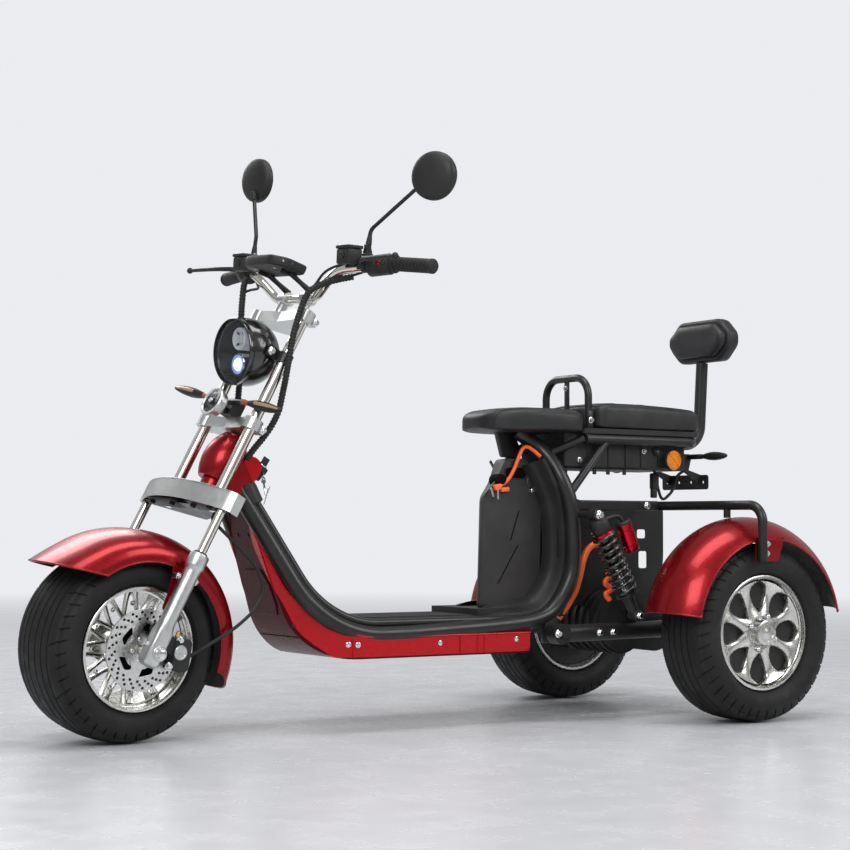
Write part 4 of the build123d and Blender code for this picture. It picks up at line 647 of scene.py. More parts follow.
def tyreHalf(t):
    bead, seat = t["rimWidth"] / 2 - 6.2, t["lip"] - 8.8
    shoulder = 0.41 * t["width"]
    drop = t["crown"] - sqrt(t["crown"] ** 2 - shoulder**2)
    top = t["radius"] - drop
    swell = (t["radius"] + t["lip"]) / 2 - 8
    half = [(bead - 12, seat), (bead, seat)]
    side = arcThrough((bead, t["lip"] + 2), (t["width"] / 2, swell), (shoulder, top - 9), 22)
    for k, (a, r) in enumerate(side):
        lift = 1.3 if k in (3, 4) else 0  # rim guard ring
        half.append((a + lift, r))
    half += arcThrough((shoulder, top - 9), (shoulder - 2.5, top - 3), (shoulder - 9, top), 4)[1:]
    crownAt = lambda a: t["radius"] - (t["crown"] - sqrt(t["crown"] ** 2 - a * a))
    marks, w = [], t["ribWidth"] / 2
    for g in t["ribs"]:
        marks += [(g + w, 0), (g + w - 0.9, t["ribDepth"]), (g - w + 0.9, t["ribDepth"]), (g - w, 0)]
    marks += [(a, 0) for a in (shoulder - 14, shoulder - 19)] + [(0.01, 0)]
    for a, cut in sorted(marks, reverse=True):
        if a < shoulder - 9.5:
            half.append((a, crownAt(a) - cut))
    return half


def makeTyre(t, place):
    half = tyreHalf(t)
    profile = half + [(-a, r) for a, r in reversed(half[:-1])]
    normals = []
    for i, (a, r) in enumerate(profile):
        (a0, r0), (a1, r1) = profile[max(i - 1, 0)], profile[min(i + 1, len(profile) - 1)]
        length = max(sqrt((a1 - a0) ** 2 + (r1 - r0) ** 2), 1e-6)
        normals.append(((r1 - r0) / length, -(a1 - a0) / length))
    low = (t["radius"] + t["lip"]) / 2 + 6
    bm = bmesh.new()
    rows = []
    for hook in range(t["hooks"]):
        start = t["longFrom"] if hook % t["longEvery"] == 0 else t["shortFrom"]
        for share, cut in hookColumns:
            row = []
            for (a, r), (na, nr) in zip(profile, normals):
                reach = max(0.0, abs(a) - t["longFrom"])
                turn = 2 * pi * (hook + share) / t["hooks"] + t["lean"] * reach / t["radius"]
                depth = 0.0
                if cut and r > low and abs(a) > start:
                    depth = t["hookDepth"] * smoothStep((abs(a) - start) / 3) * smoothStep((r - low) / 7)
                radius, along = r - nr * depth, a - na * depth
                row.append(place + Vector((cos(turn) * radius, along, sin(turn) * radius)))
            rows.append(row)
    addGrid(bm, rows, wrapU=True)
    toPiece(bm, t["piece"], tyreRubber, t["body"], t["node"], angle=28)


makeTyre(frontTyre, axleFront)
for hand, label in ((1, "left"), (-1, "right")):
    made = dict(rearTyre, piece=f"{label}TyreTread", node=f"{label}_tyre", body=f"{label}_wheel")
    makeTyre(made, axleRear + yDir * hand * stance["rearTrack"] / 2)
print("tyres made")

# front rim: polished barrel, a laced mesh of cast bars and a stepped hub

frontRim = {
    "half": 95, "lip": 141, "bars": 12, "skew": 26, "rootRadius": 38, "tipRadius": 126, "barMiddle": 49,
    "barLift": 4, "barWidth": 5.2, "hubFace": 103.7, "capCircles": (100, 66), "capLift": 8,
    "capSize": (5.5, 4.5)}


def rimLips(half, lip, foot, flat):
    # both rolled edges of a rim and the seat between them: along the axle, out from it
    edge = [(half, lip - foot), (half, lip - 1.5), (half - 1.2, lip), (half - flat, lip),
            (half - 6, lip - 1.5), (half - 6, lip - 9)]
    return edge + [(-a, r) for a, r in reversed(edge)]


def makeFrontRim(d):
    bm = bmesh.new()
    h, lip = d["half"], d["lip"]
    barrel = rimLips(h, lip, 6, 4.6) + [(14 - h, lip - 11), (20 - h, lip - 14), (h - 34, lip - 15),
                                        (h - 33, lip - 11), (h - 16, lip - 10), (h - 14.5, lip - 8),
                                        (h - 3, lip - 7)]
    addLathe(bm, barrel, axleFront, yDir, 120, 0, closed=True)
    hub = [(-75, 10), (-75, 40), (-70, 44), (-50, 44), (-40, 30), (24, 30), (34, 43), (62, 43), (68, 38),
           (80, 30), (90, 30), (94, 43.5), (d["hubFace"], 43.5), (d["hubFace"], 10)]
    addLathe(bm, hub, axleFront, yDir, 72)
    for family, lift in ((-1, d["barLift"]), (1, -d["barLift"])):
        for k in range(d["bars"]):
            root = 2 * pi * k / d["bars"]
            tip = root + radians(d["skew"]) * family
            a = Vector((cos(root) * d["rootRadius"], d["barMiddle"], sin(root) * d["rootRadius"]))
            b = Vector((cos(tip) * d["tipRadius"], d["barMiddle"], sin(tip) * d["tipRadius"]))
            path = [axleFront + a.lerp(b, t) + yDir * lift * sin(pi * t)
                    for t in (0, 0.12, 0.3, 0.5, 0.7, 0.88, 1)]
            width = [d["barWidth"] * w for w in (1.5, 1.15, 1, 0.95, 1, 1.15, 1.7)]
            addTube(bm, path, width, 10, flat=1.25, upHint=(b - a).cross(yDir))
    for k in range(2 * d["bars"]):  # caps where the bars cross
        turn = pi * k / d["bars"]
        out = Vector((cos(turn), 0, sin(turn)))
        at = axleFront + out * d["capCircles"][k % 2] + yDir * (d["barMiddle"] + d["capLift"])
        addDome(bm, at, yDir, *d["capSize"], 0, 14)
    toPiece(bm, "frontMeshRim", satinAlloy, "front_wheel", "front_rim")


makeFrontRim(frontRim)

frontDisc = {
    "left": 106, "thick": 4, "radius": 92, "bore": 14, "windows": 5, "windowIn": 34, "windowOut": 61,
    "rows": ((70, 0.0), (77.5, 0.33), (85, 0.66)), "holes": 22, "holeRadius": 3.3, "paintedShadeRing": (66, 89.5),
    "bolts": 5, "boltCircle": 26}


def makeDisc(d):
    bm = bmesh.new()
    holes = [ring2d(d["bore"], 32)]
    for k in range(d["windows"]):
        mid, wide = 2 * pi * k / d["windows"], 2 * pi / d["windows"]
        corner = lambda r, t: (r * cos(mid + t * wide), r * sin(mid + t * wide))
        holes.append(softCorners([corner(d["windowIn"], -0.12), corner(d["windowOut"], -0.36),
                                  corner(d["windowOut"], 0.1), corner(d["windowOut"] - 12, 0.3)], 6))
    for radius, shift in d["rows"]:
        for k in range(d["holes"]):
            turn = 2 * pi * (k + shift) / d["holes"]
            holes.append(ring2d(d["holeRadius"], 12, (radius * cos(turn), radius * sin(turn))))
    m = planeMatrix(axleFront + yDir * d["left"], yDir)
    addPlate(bm, ring2d(d["radius"], 120), d["thick"], m, holes, 0.5)
    for k in range(d["bolts"]):
        turn = 2 * pi * (k + 0.5) / d["bolts"]
        addDome(bm, m @ Vector((cos(turn) * d["boltCircle"], sin(turn) * d["boltCircle"], d["thick"] / 2)),
                yDir, 5, 3, 1, 12)
    # painted shade: a dark ring just behind the disc, seen through its holes
    behind = -d["thick"] / 2 - 1  # dark ring seen through the holes
    addLathe(bm, [(behind, r) for r in d["paintedShadeRing"]], axleFront + yDir * d["left"], yDir, 96, 2)
    toPiece(bm, "frontDisc", [discSteel, boltSteel, seamAndPaintedShade], "front_wheel", "brake_disc")


makeDisc(frontDisc)

# rear rims: bowed spokes between rounded windows, a long plain hub cap and lug nuts

rearRim = {
    "half": 72, "lip": 145, "spokes": 8, "face": 50, "wall": 15, "hubRadius": 52, "capRadius": 35,
    "capReach": 84, "lugs": 4, "lugCircle": 44,
    "stations": ((44, 21, 9), (54, 18, 6), (64, 13.5, 3), (78, 11, 0.5), (94, 11.5, 0), (107, 14.5, 2),
        (117, 21, 5), (124, 32, 8), (130, 52, 10))}  # out from the axle, half width, lift


def makeRearRim(d, hand, label):
    bm = bmesh.new()
    middle, out = axleRear + yDir * hand * stance["rearTrack"] / 2, yDir * hand
    h, lip = d["half"], d["lip"]
    barrel = rimLips(h, lip, 7, 4.8) + [(12 - h, lip - 15), (h - 30, lip - 16), (h - 14, lip - 13),
                                        (h - 11, lip - 10), (h - 9, lip - 9)]
    addLathe(bm, barrel, middle, out, 120, 0, closed=True)
    for k in range(d["spokes"]):
        turn = 2 * pi * (k + 0.5) / d["spokes"]
        rows = []
        for r, half, lift in d["stations"]:
            y, row = d["face"] + lift, []
            for across, up in ((-1, -d["wall"]), (-1, -3.5), (-0.86, -1), (-0.5, 0.9), (0, 1.7), (0.5, 0.9),
                               (0.86, -1), (1, -3.5), (1, -d["wall"])):
                t = turn + across * half / r
                row.append(middle + Vector((cos(t) * r, 0, sin(t) * r)) + out * (y + up))
            rows.append(row)
        addGrid(bm, rows, wrapV=True)
    hub = [(d["face"] - 60, 16), (d["face"] - 60, d["hubRadius"] - 4), (d["face"] - 16, d["hubRadius"]),
           (d["face"] + 5, d["hubRadius"]), (d["face"] + 9, d["hubRadius"] - 4),
           (d["face"] + 8, d["capRadius"] + 2), (d["face"] + 10, d["capRadius"]),
           (d["capReach"] - 9, d["capRadius"] - 1.5), (d["capReach"] - 3, d["capRadius"] - 4),
           (d["capReach"] - 1, d["capRadius"] - 9), (d["capReach"] - 1, d["capRadius"] - 13),
           (d["capReach"] - 4, d["capRadius"] - 14), (d["capReach"] - 4, 10), (d["capReach"] - 1.5, 6),
           (d["capReach"] - 1.5, 0)]
    addLathe(bm, hub, middle, out, 72)
    # painted shade: a dark sleeve lines the barrel behind the spokes
    shade = [(h - 34, lip - 17.2), (14 - h, lip - 16.6)]  # dark barrel behind the spokes
    addLathe(bm, shade, middle, out, 96, 2)
    for k in range(d["lugs"]):
        turn = 2 * pi * (k + 0.25) / d["lugs"]
        around = Vector((cos(turn), 0, sin(turn))) * d["lugCircle"]
        at = middle + around + out * (d["face"] + 8)
        addLathe(bm, [(-1, 8), (4, 8), (4, 6.8), (11, 6.8), (14, 5), (15.5, 2.5), (16, 0)], at, out, 12, 1)
    toPiece(bm, f"{label}SpokeRim", [satinAlloy, boltSteel, castBlack], f"{label}_wheel", f"{label}_rim",
            angle=40)


for hand, label in ((1, "left"), (-1, "right")):
    makeRearRim(rearRim, hand, label)
print("rims and disc made")

# front fender: an arch round the wheel, trimmed level at the nose, with a rolled edge

frontFender = {
    "half": 126, "edge": 199, "crown": 266, "fullness": 2.5, "wall": 3, "roll": 2.4, "tail": 203,
    "noseRise": 0.23, "noseAhead": 1665, "noseUp": 389, "flare": 19, "flareFrom": 66, "flareSpan": 22,
    "across": 36, "along": 84, "tabFoot": 98, "tabHalf": (34, 9), "tabBolts": ((20, 178), (-24, 186)),
    "spacer": 15}


def fenderShell(bm, outer, inner, roll):
    # outer and inner skins from the same grid, closed and beaded at the edge
    a = addGrid(bm, outer, mat=0)
    b = addGrid(bm, inner, mat=1, flip=True)
    rows, cols = len(a), len(a[0])
    loop = [(0, j) for j in range(cols)] + [(i, cols - 1) for i in range(1, rows)]
    loop += [(rows - 1, j) for j in range(cols - 2, -1, -1)] + [(i, 0) for i in range(rows - 2, 0, -1)]
    for (i, j), (k, m) in zip(loop, loop[1:] + loop[:1]):
        bm.faces.new((a[i][j], b[i][j], b[k][m], a[k][m]))
    border = [(a[i][j].co + b[i][j].co) / 2 for i, j in loop]
    path = [p for n, p in enumerate(border) if (p - border[n - 1]).length > 1.5]
    addTube(bm, path, roll, 8, 0, closed=True)


def makeFrontFender(d):
    bm = bmesh.new()
    outer, inner = [], []
    for j in range(d["across"] + 1):
        a = pi / 2 * (2 * j / d["across"] - 1)
        power = 2 / d["fullness"]
        y = d["half"] * abs(sin(a)) ** power * (1 if a >= 0 else -1)
        rise = (d["crown"] - d["edge"]) * abs(cos(a)) ** power
        share = abs(y) / d["half"]

        def radiusAt(turn):
            lift = d["flare"] * max(0.0, (d["flareFrom"] - turn) / d["flareSpan"]) ** 2 * (1 - 0.5 * share)
            return d["edge"] + rise + lift

        turn = 75.0  # find where this line meets the level trim of the nose
        while turn > 30:
            r = radiusAt(turn)
            ahead, up = axleFront.x + r * cos(radians(turn)), axleFront.z + r * sin(radians(turn))
            if up < d["noseUp"] + d["noseRise"] * (ahead - d["noseAhead"]):
                break
            turn -= 0.1
        end = d["tail"] - 7 * share**8
        lineOut, lineIn = [], []
        for i in range(d["along"] + 1):
            t = turn + (end - turn) * i / d["along"]
            r = radiusAt(t)
            way = Vector((cos(radians(t)), 0, sin(radians(t))))
            lineOut.append(axleFront + way * r + yDir * y)
            lineIn.append(axleFront + way * (r - d["wall"] * (1 - 0.6 * share))
                          + yDir * y * (1 - d["wall"] / d["half"] * share))
        outer.append(lineOut)
        inner.append(lineIn)
    fenderShell(bm, outer, inner, d["roll"])
    for hand in (1, -1):
        wide, tip = d["tabHalf"]
        low, top = d["tabFoot"], d["edge"] + 10
        outline = [(-wide, top), (-wide + 4, top - 14), (-tip - 8, low + 60), (-tip, low + 4),
                   (-tip + 5, low), (tip - 4, low), (tip, low + 5), (tip + 5, low + 50), (wide - 6, top - 20),
                   (wide, top)]
        m = Matrix((forkX, forkZ, forkX.cross(forkZ))).transposed().to_4x4()
        m.translation = forkPoint(4, hand * (d["half"] - 1.5), 0)
        addPlate(bm, outline, 3.4, m)
        for ahead, up in d["tabBolts"]:
            at = forkPoint(ahead, hand * d["half"], up)
            addLathe(bm, [(-3, 8), (d["spacer"], 8), (d["spacer"], 0)], at, yDir * hand, 18, 2)
            addBolt(bm, at + yDir * hand * d["spacer"], yDir * hand, 11, 6, 2)
    toPiece(bm, "frontArch", [candyRed, fenderInside, boltSteel], "steering", "front_fender",
            angle=50)


makeFrontFender(frontFender)

# rear fenders: arches with a flat front foot, and the flap that carries the hoop

rearFender = {
    "inner": 300, "innerRadius": 256, "ridge": 370.5, "crown": 290, "outer": 489, "edge": 236, "wall": 3,
    "roll": 2.4, "start": 11, "sweep": 157, "across": 30, "along": 84,
    "flap": ((52, 404), (52, 465), (-46, 465), (-24, 404)), "flapBolts": ((16, 424), (14, 448))}


def makeRearFenders(d):
    bm = bmesh.new()
    for hand in (1, -1):
        section = arcThrough((d["inner"], d["innerRadius"]), (d["ridge"], d["crown"]),
                             (d["outer"], d["edge"]), d["across"])
        inside = arcThrough((d["inner"] + d["wall"], d["innerRadius"]), (d["ridge"], d["crown"] - d["wall"]),
                            (d["outer"] - d["wall"], d["edge"]), d["across"])
        outer, inner = [], []
        for (y, r), (yIn, rIn) in zip(section, inside):
            turns = [radians(d["start"] + d["sweep"] * i / d["along"]) for i in range(d["along"] + 1)]
            outer.append([axleRear + Vector((cos(t) * r, hand * y, sin(t) * r)) for t in turns])
            inner.append([axleRear + Vector((cos(t) * rIn, hand * yIn, sin(t) * rIn)) for t in turns])
        fenderShell(bm, outer, inner, d["roll"])
        m = planeMatrix((0, hand * (d["outer"] - 1.5), 0), yDir * hand)
        flip = -hand
        addPlate(bm, softCorners([(flip * s, z) for s, z in d["flap"]], [3, 3, 3, 10]), 3, m, (), 0.6)
        for s, z in d["flapBolts"]:
            addBolt(bm, (s, hand * d["outer"], z), yDir * hand, 11, 6, 2)
    toPiece(bm, "rearArches", [candyRed, fenderInside, boltSteel], "frame", "rear_fenders",
            angle=50)


makeRearFenders(rearFender)
print("fenders made")

# seats: foam lofted along its length, with welts and panel seams

saddleFoam = {
    "rear": 304, "front": 577, "base": 732, "endPower": 9, "tipPower": 3.2, "upper": 4.2, "lower": 9,
    "rings": 56, "around": 56,
    "plan": ((304, 134), (337, 140), (388, 139), (434, 130), (480, 117), (518, 106), (550, 96), (577, 86)),
    "top": ((304, 789), (337, 793), (388, 795), (453, 796), (499, 794), (536, 788), (564, 780), (577, 774)),
    "lift": ((304, 0), (518, 0), (550, 2), (577, 6)), "welt": 50, "slack": 1.3, "waist": 0.42,
    "seam": (318, 534, 28), "seamDrop": 100, "seamTurns": (50, 130)}
pillionFoam = {
    "rear": -98, "front": 256, "base": 745, "endPower": 9, "tipPower": 9, "upper": 5.2, "lower": 12,
    "rings": 60, "around": 56, "plan": ((-98, 124), (0, 127), (100, 128), (200, 128), (256, 126)),
    "top": ((-98, 804), (-60, 808), (90, 815), (220, 815), (256, 812)), "lift": ((-98, 0), (256, 0)),
    "welt": 47, "slack": 1.4, "waist": 0.42, "inset": 7, "seams": (92, 190), "seamTurns": (50, 130)}


def foamPoint(d, s, a):
    middle, reach = (d["front"] + d["rear"]) / 2, (d["front"] - d["rear"]) / 2
    u = max(-1.0, min(1.0, (s - middle) / reach))
    power = d["tipPower"] if u > 0 else d["endPower"]
    half = through(d["plan"], s) * max(0.0, 1 - abs(u) ** power) ** (1 / power)
    close = max(0.0, 1 - abs(u) ** 18) ** (1 / 5)
    base, top = d["base"] + through(d["lift"], s), through(d["top"], s)
    waist = base + (top - base) * d["waist"]
    up, out = sin(a), cos(a)
    n = d["upper"] if up >= 0 else d["lower"]
    y = half * abs(out) ** (2 / n) * (1 if out >= 0 else -1)
    z = waist + ((top - waist) if up >= 0 else (base - waist)) * abs(up) ** (2 / n) * close
    soft = noise.noise(Vector((s, y, z)) / 46) * d["slack"] * (1 if up > -0.2 else 0)
    return Vector((s, y * (1 + soft / 160), z + soft * (0.6 if up > 0 else 0)))


def foamBody(bm, d):
    middle, reach = (d["front"] + d["rear"]) / 2, (d["front"] - d["rear"]) / 2
    rows = []
    for i in range(d["rings"] + 1):
        s = middle + reach * sin(pi * (i / d["rings"] - 0.5))
        rows.append([foamPoint(d, s, 2 * pi * k / d["around"]) for k in range(d["around"])])
    addGrid(bm, rows, wrapV=True)


def foamSeam(bm, d, points, radius=1.5):
    addTube(bm, [foamPoint(d, s, radians(a)) for s, a in points], radius, 8)


def crossSeam(bm, d, s, steps, radius):
    low, high = d["seamTurns"]
    foamSeam(bm, d, [(s, low + (high - low) * k / steps) for k in range(steps + 1)], radius)


def foamWelt(bm, d, inset, radius=1.7):
    a, low, high = d["welt"], d["rear"] + inset, d["front"] - inset
    loop = [(low + (high - low) * k / 40, a) for k in range(41)]
    loop += [(high, a + (180 - 2 * a) * k / 16) for k in range(1, 16)]
    loop += [(high - (high - low) * k / 40, 180 - a) for k in range(41)]
    loop += [(low, 180 - a - (180 - 2 * a) * k / 16) for k in range(1, 16)]
    addTube(bm, [foamPoint(d, s, radians(t)) for s, t in loop], radius, 8, 0, closed=True)


def makeSaddle(d):
    bm = bmesh.new()
    foamBody(bm, d)
    rear, front, reach = d["seam"]
    for hand in (0, 1):
        turn = lambda t: 180 - t if hand else t
        along = [(rear + (front - rear) * k / 36, turn(d["welt"])) for k in range(36)]
        down = [(front + reach * sin(pi / 2 * k / 14), turn(d["welt"] - d["seamDrop"] * (k / 14) ** 1.4))
                for k in range(1, 15)]
        foamSeam(bm, d, along + down)
    crossSeam(bm, d, front, 20, 1.5)
    piece = toPiece(bm, "saddleFoam", seatLeather, "frame", "saddle", angle=60)


def makePillion(d):
    bm = bmesh.new()
    foamBody(bm, d)
    foamWelt(bm, d, d["inset"])
    for s in d["seams"]:
        crossSeam(bm, d, s, 24, 1.1)
    piece = toPiece(bm, "pillionFoam", seatLeather, "frame", "pillion_pad", angle=60)


makeSaddle(saddleFoam)
makePillion(pillionFoam)

backPad = {
    "ahead": -205, "low": 948, "height": 118, "half": 124, "cut": 42,
    "layers": ((-31, 14), (-29, 7), (-24, 2), (-12, 0), (4, 0), (10, 2), (12.5, 7), (11.5, 13), (15, 13.5),
        (22, 14), (27, 17), (30, 23), (31, 34), (30.6, 46))}


def makeBackPad(d):
    bm = bmesh.new()
    tall, half, cut = d["height"] / 2, d["half"], d["cut"]
    octagon = softCorners([(half, tall - cut), (half - cut, tall), (cut - half, tall), (-half, tall - cut),
                           (-half, cut - tall), (cut - half, -tall), (half - cut, -tall), (half, cut - tall)],
                          13, 4)
    middle = Vector((d["ahead"], 0, d["low"] + tall))
    rows = []
    for x, inset in d["layers"]:
        ring = []
        for y, z in octagon:
            soft = noise.noise(Vector((y, z, x)) / 40) * 0.8
            ring.append(middle + Vector((x + soft, y * (half - inset) / half, z * (tall - inset) / tall)))
        rows.append(ring)
    addLoft(bm, rows)
    piece = toPiece(bm, "backPadFoam", seatLeather, "frame", "backrest_pad", angle=60)


makeBackPad(backPad)

# seat ironwork: grab hoop with bolted feet, grooved post, tail box fittings

grabHoop = {
    "ahead": 270, "half": 92, "foot": 745, "high": 881, "corner": 52, "radius": 10, "barHalf": 9,
    "barThick": 5, "barBolt": 26, "plate": (19, 5, 46), "plateUp": 24, "plateBolt": 22}


def makeGrabHoop(d):
    bm = bmesh.new()
    s, half, foot, high = d["ahead"], d["half"], d["foot"], d["high"]
    route = roundPath([(s, half, foot), (s, half, high), (s, -half, high), (s, -half, foot)],
                      [d["corner"]] * 2, 8)
    addTube(bm, route, d["radius"], 18)
    tall = high - foot
    addBox(bm, (d["barThick"], 2 * d["barHalf"], tall), moveTo((s, 0, foot + tall / 2)), 1.5)
    addBolt(bm, (s + d["barThick"] / 2, 0, high - d["barBolt"]), xDir, 9, 5, 1)
    for hand in (1, -1):
        addBox(bm, d["plate"], moveTo((s, hand * (half + 8), foot + d["plateUp"])), 2)
        addBolt(bm, (s, hand * (half + 10.5), foot + d["plateBolt"]), yDir * hand, 11, 6, 1)
    toPiece(bm, "grabHoopBar", [frameBlack, boltSteel], "frame", "grab_hoop", angle=40)


makeGrabHoop(grabHoop)

backPost = {
    "root": (-98.2, 0, 717), "bend": (-191, 0, 717), "top": (-205, 0, 946.5), "corner": 56, "radius": 18,
    "narrow": 0.78, "groove": 0.13, "sides": 28}


def makeBackPost(d):
    bm = bmesh.new()
    route = roundPath([d["root"], d["bend"], d["top"]], [d["corner"]], 6)
    rows = []
    for i, at in enumerate(route):
        way = (route[min(i + 1, len(route) - 1)] - route[max(i - 1, 0)]).normalized()
        out = yDir.cross(way)
        ring = []
        for k in range(d["sides"]):
            t = 2 * pi * k / d["sides"]
            # a pressed line down the front and the back
            dent = 1 - d["groove"] * max(0.0, 1 - ((abs(sin(t)) - 1) / 0.12) ** 2)
            ring.append(at + (yDir * cos(t) * d["narrow"] + out * sin(t)) * d["radius"] * dent)
        rows.append(ring)
    addLoft(bm, rows)
    toPiece(bm, "backPostTube", frameBlack, "frame", "backrest_post", angle=40)


makeBackPost(backPost)

tailStrap = {
    "half": 100, "low": 640, "high": 731, "strap": (142, 24), "ribs": (-20, 40, 100, 210, 280),
    "bolts": ((89, 690), (305, 662)), "lock": (48, 690), "tabs": (250, 205, 150)}


def makeTailStraps(d):
    bm = bmesh.new()
    tall = d["high"] - d["low"]
    for hand in (1, -1):
        y, out = hand * d["half"], yDir * hand
        s, wide = d["strap"]
        addBox(bm, (wide, 3, tall - 6), moveTo((s, y + hand * 1.5, d["low"] + tall / 2 + 3)), 1)
        for s in d["ribs"]:
            addBox(bm, (4, 2.4, tall - 14), moveTo((s, y + hand * 1.1, d["low"] + tall / 2)), 0.8)
        for s, z in d["bolts"]:
            addBolt(bm, (s, y, z), out, 10, 5, 1)
        s, z = d["lock"]
        addLathe(bm, [(0, 11), (5, 11), (6.5, 9.5), (6.5, 7), (8, 7), (8, 0)], (s, y, z), out, 28)
        addBox(bm, (7, 1, 1.6), moveTo((s, y + hand * 8, z)), 0.3, 1, 1)
        for s in d["tabs"]:
            addBox(bm, (12, 3, 16), moveTo((s, y - hand * 8, d["low"] - 6)), 1.2)
    toPiece(bm, "tailStraps", [plasticBlack, boltSteel], "frame", None, angle=40)


makeTailStraps(tailStrap)

reflector = {
    "ahead": 4, "side": 100, "up": 667, "radius": 29, "lensFoot": 22.2, "lensHigh": 2.4, "ribPitch": 4,
    "ribs": 5}


def makeReflectors(d):
    bm = bmesh.new()
    s, side, z, r = d["ahead"], d["side"], d["up"], d["radius"]
    cup = [(0, 10), (15, 10), (16, r - 3), (18, r), (23, r), (24.8, r - 1.2), (24.8, r - 2.4), (22, r - 2.6),
           (22, 0)]
    lens = [(d["lensFoot"] + d["lensHigh"] * (1 - (k / 8) ** 2), (r - 2.8) * k / 8) for k in range(8, -1, -1)]
    for hand in (1, -1):
        root, out = (s, hand * (side + 0.2), z), yDir * hand
        addLathe(bm, cup, root, out, 56, 1)
        addLathe(bm, lens, root, out, 56)
        for turn in (45, -45):
            m = moveTo((s, hand * (side + 24.3), z)) @ Matrix.Rotation(radians(turn), 4, "Y")
            addBox(bm, (2 * r - 7, 1.6, 2.2), m, 0.5, 1, 2)
        for k in range(-d["ribs"], d["ribs"] + 1):
            up = d["ribPitch"] * k
            wide = 2 * sqrt((r - 4) ** 2 - up**2)
            addBox(bm, (wide, 0.9, 0.9), moveTo((s, hand * (side + 24), z + up)), 0)
    toPiece(bm, "amberReflectors", [amberLens, plasticBlack, amberRib], "frame", "side_reflectors",
            angle=40)


makeReflectors(reflector)
print("seats and tail made")

# fork: cast sliders, bowed shroud, yoke bolts

slider = {
    "ahead": 6, "left": 160, "outer": 180,
    "sections": ((-34, 13, 12, 2.6), (-31, 18, 17, 3), (-24, 20.5, 19.5, 4.5), (48, 20.5, 19.5, 4.5),
        (58, 19, 18.5, 3.4), (64, 18.6, 18.4, 2.4), (74, 18.6, 18.6, 2), (196, 18.8, 18.8, 2),
        (204, 19.4, 19.4, 2), (209, 22.4, 22.4, 2), (212, 23, 23, 2), (236, 23, 23, 2), (240, 22, 22, 2),
        (241, 20, 20, 2)),
    "lines": (-9, 0, 9), "linesUp": 36, "seal": 241, "pinchUp": 10}


def makeSliders(d):
    bm = bmesh.new()
    for hand in (1, -1):
        rings = []
        for up, a, b, n in d["sections"]:
            rings.append(squareRing(forkPoint(d["ahead"], hand * d["left"], up), forkX, yDir, a, b, n))
        addLoft(bm, rings)
        seal = forkPoint(d["ahead"], hand * d["left"], d["seal"])
        addLathe(bm, [(-3, 11.6), (1.5, 17), (4.5, 15), (4.5, 11.5)], seal, forkZ, 40, 1)
        out = yDir * hand
        addLathe(bm, [(0, 17.5), (2.2, 17.5), (3.2, 16.5), (3.2, 0)],
                 forkPoint(0, hand * d["outer"] - hand * 0.6, 0), out, 40)
        addLathe(bm, [(0, 14), (3, 14), (3.6, 13.4), (3.6, 0)], forkPoint(0, hand * (d["outer"] + 2.6), 0),
                 out, 30, 2)
        addBolt(bm, forkPoint(0, hand * (d["outer"] + 6), 0), out, 19, 8, 2, washer=False)
        for ahead in d["lines"]:  # raised lines cast in the outer flat
            m = Matrix((forkX, out, forkZ)).transposed().to_4x4()
            m.translation = forkPoint(d["ahead"] + ahead, hand * (d["left"] + 19.4), d["linesUp"])
            addBox(bm, (3, 1.6, 18), m, 0.6)
        addBolt(bm, forkPoint(d["ahead"] + 19.6, hand * d["left"], d["pinchUp"]), forkX, 9, 5, 2)
    toPiece(bm, "castSliders", [castSilver, rubberBlack, boltSteel], "steering", "fork_sliders",
            angle=38)


makeSliders(slider)

shroud = {
    "low": 352, "high": 399, "half": 190, "front": 65, "bow": 55, "back": -20, "wall": 4, "steps": 44,
    "stays": ((-70, 120), (88, 90)), "bolts": (-116, -30, 60, 128)}


def makeShroud(d):
    bm = bmesh.new()
    end = d["front"] - d["bow"]
    arc = arcThrough((end, -d["half"]), (d["front"], 0), (end, d["half"]), d["steps"])
    path = [(d["back"], -d["half"]), (end - 6, -d["half"]), *arc[1:-1], (end - 6, d["half"]),
            (d["back"], d["half"])]
    shrink = lambda x, y: ((x - d["wall"]) if x > end - 5 else x, y * (d["half"] - d["wall"]) / d["half"])
    rings = []
    for x, y in path:
        x2, y2 = shrink(x, y)
        rings.append([forkPoint(x, y, d["low"]), forkPoint(x, y, d["high"]), forkPoint(x2, y2, d["high"]),
                      forkPoint(x2, y2, d["low"])])
    addLoft(bm, rings)
    m = Matrix((forkX, yDir, forkX.cross(yDir))).transposed().to_4x4()
    m.translation = forkPoint(0, 0, d["high"] - 3)
    addPlate(bm, path, 4, m)
    for y, wide in d["stays"]:  # stays bolted up inside
        m.translation = forkPoint(14, y, d["low"] + 12)
        addBox(bm, (46, wide, 18), m, 3, 2, 1)
    for y in d["bolts"]:
        addBolt(bm, forkPoint(20, y, d["low"] + 4), -forkZ, 12, 7, 1)
    toPiece(bm, "bowedShroud", [castSilver, plasticBlack], "steering", "fork_shroud", angle=35,
            bevel=0.8)


makeShroud(shroud)

yokeFit = {
    "tubes": 95, "ahead": -6, "mid": 581, "top": 890, "lamp": 759, "clamp": (14, 26, 22), "clampBack": 25,
    "lampAhead": 40, "stemAhead": -36}


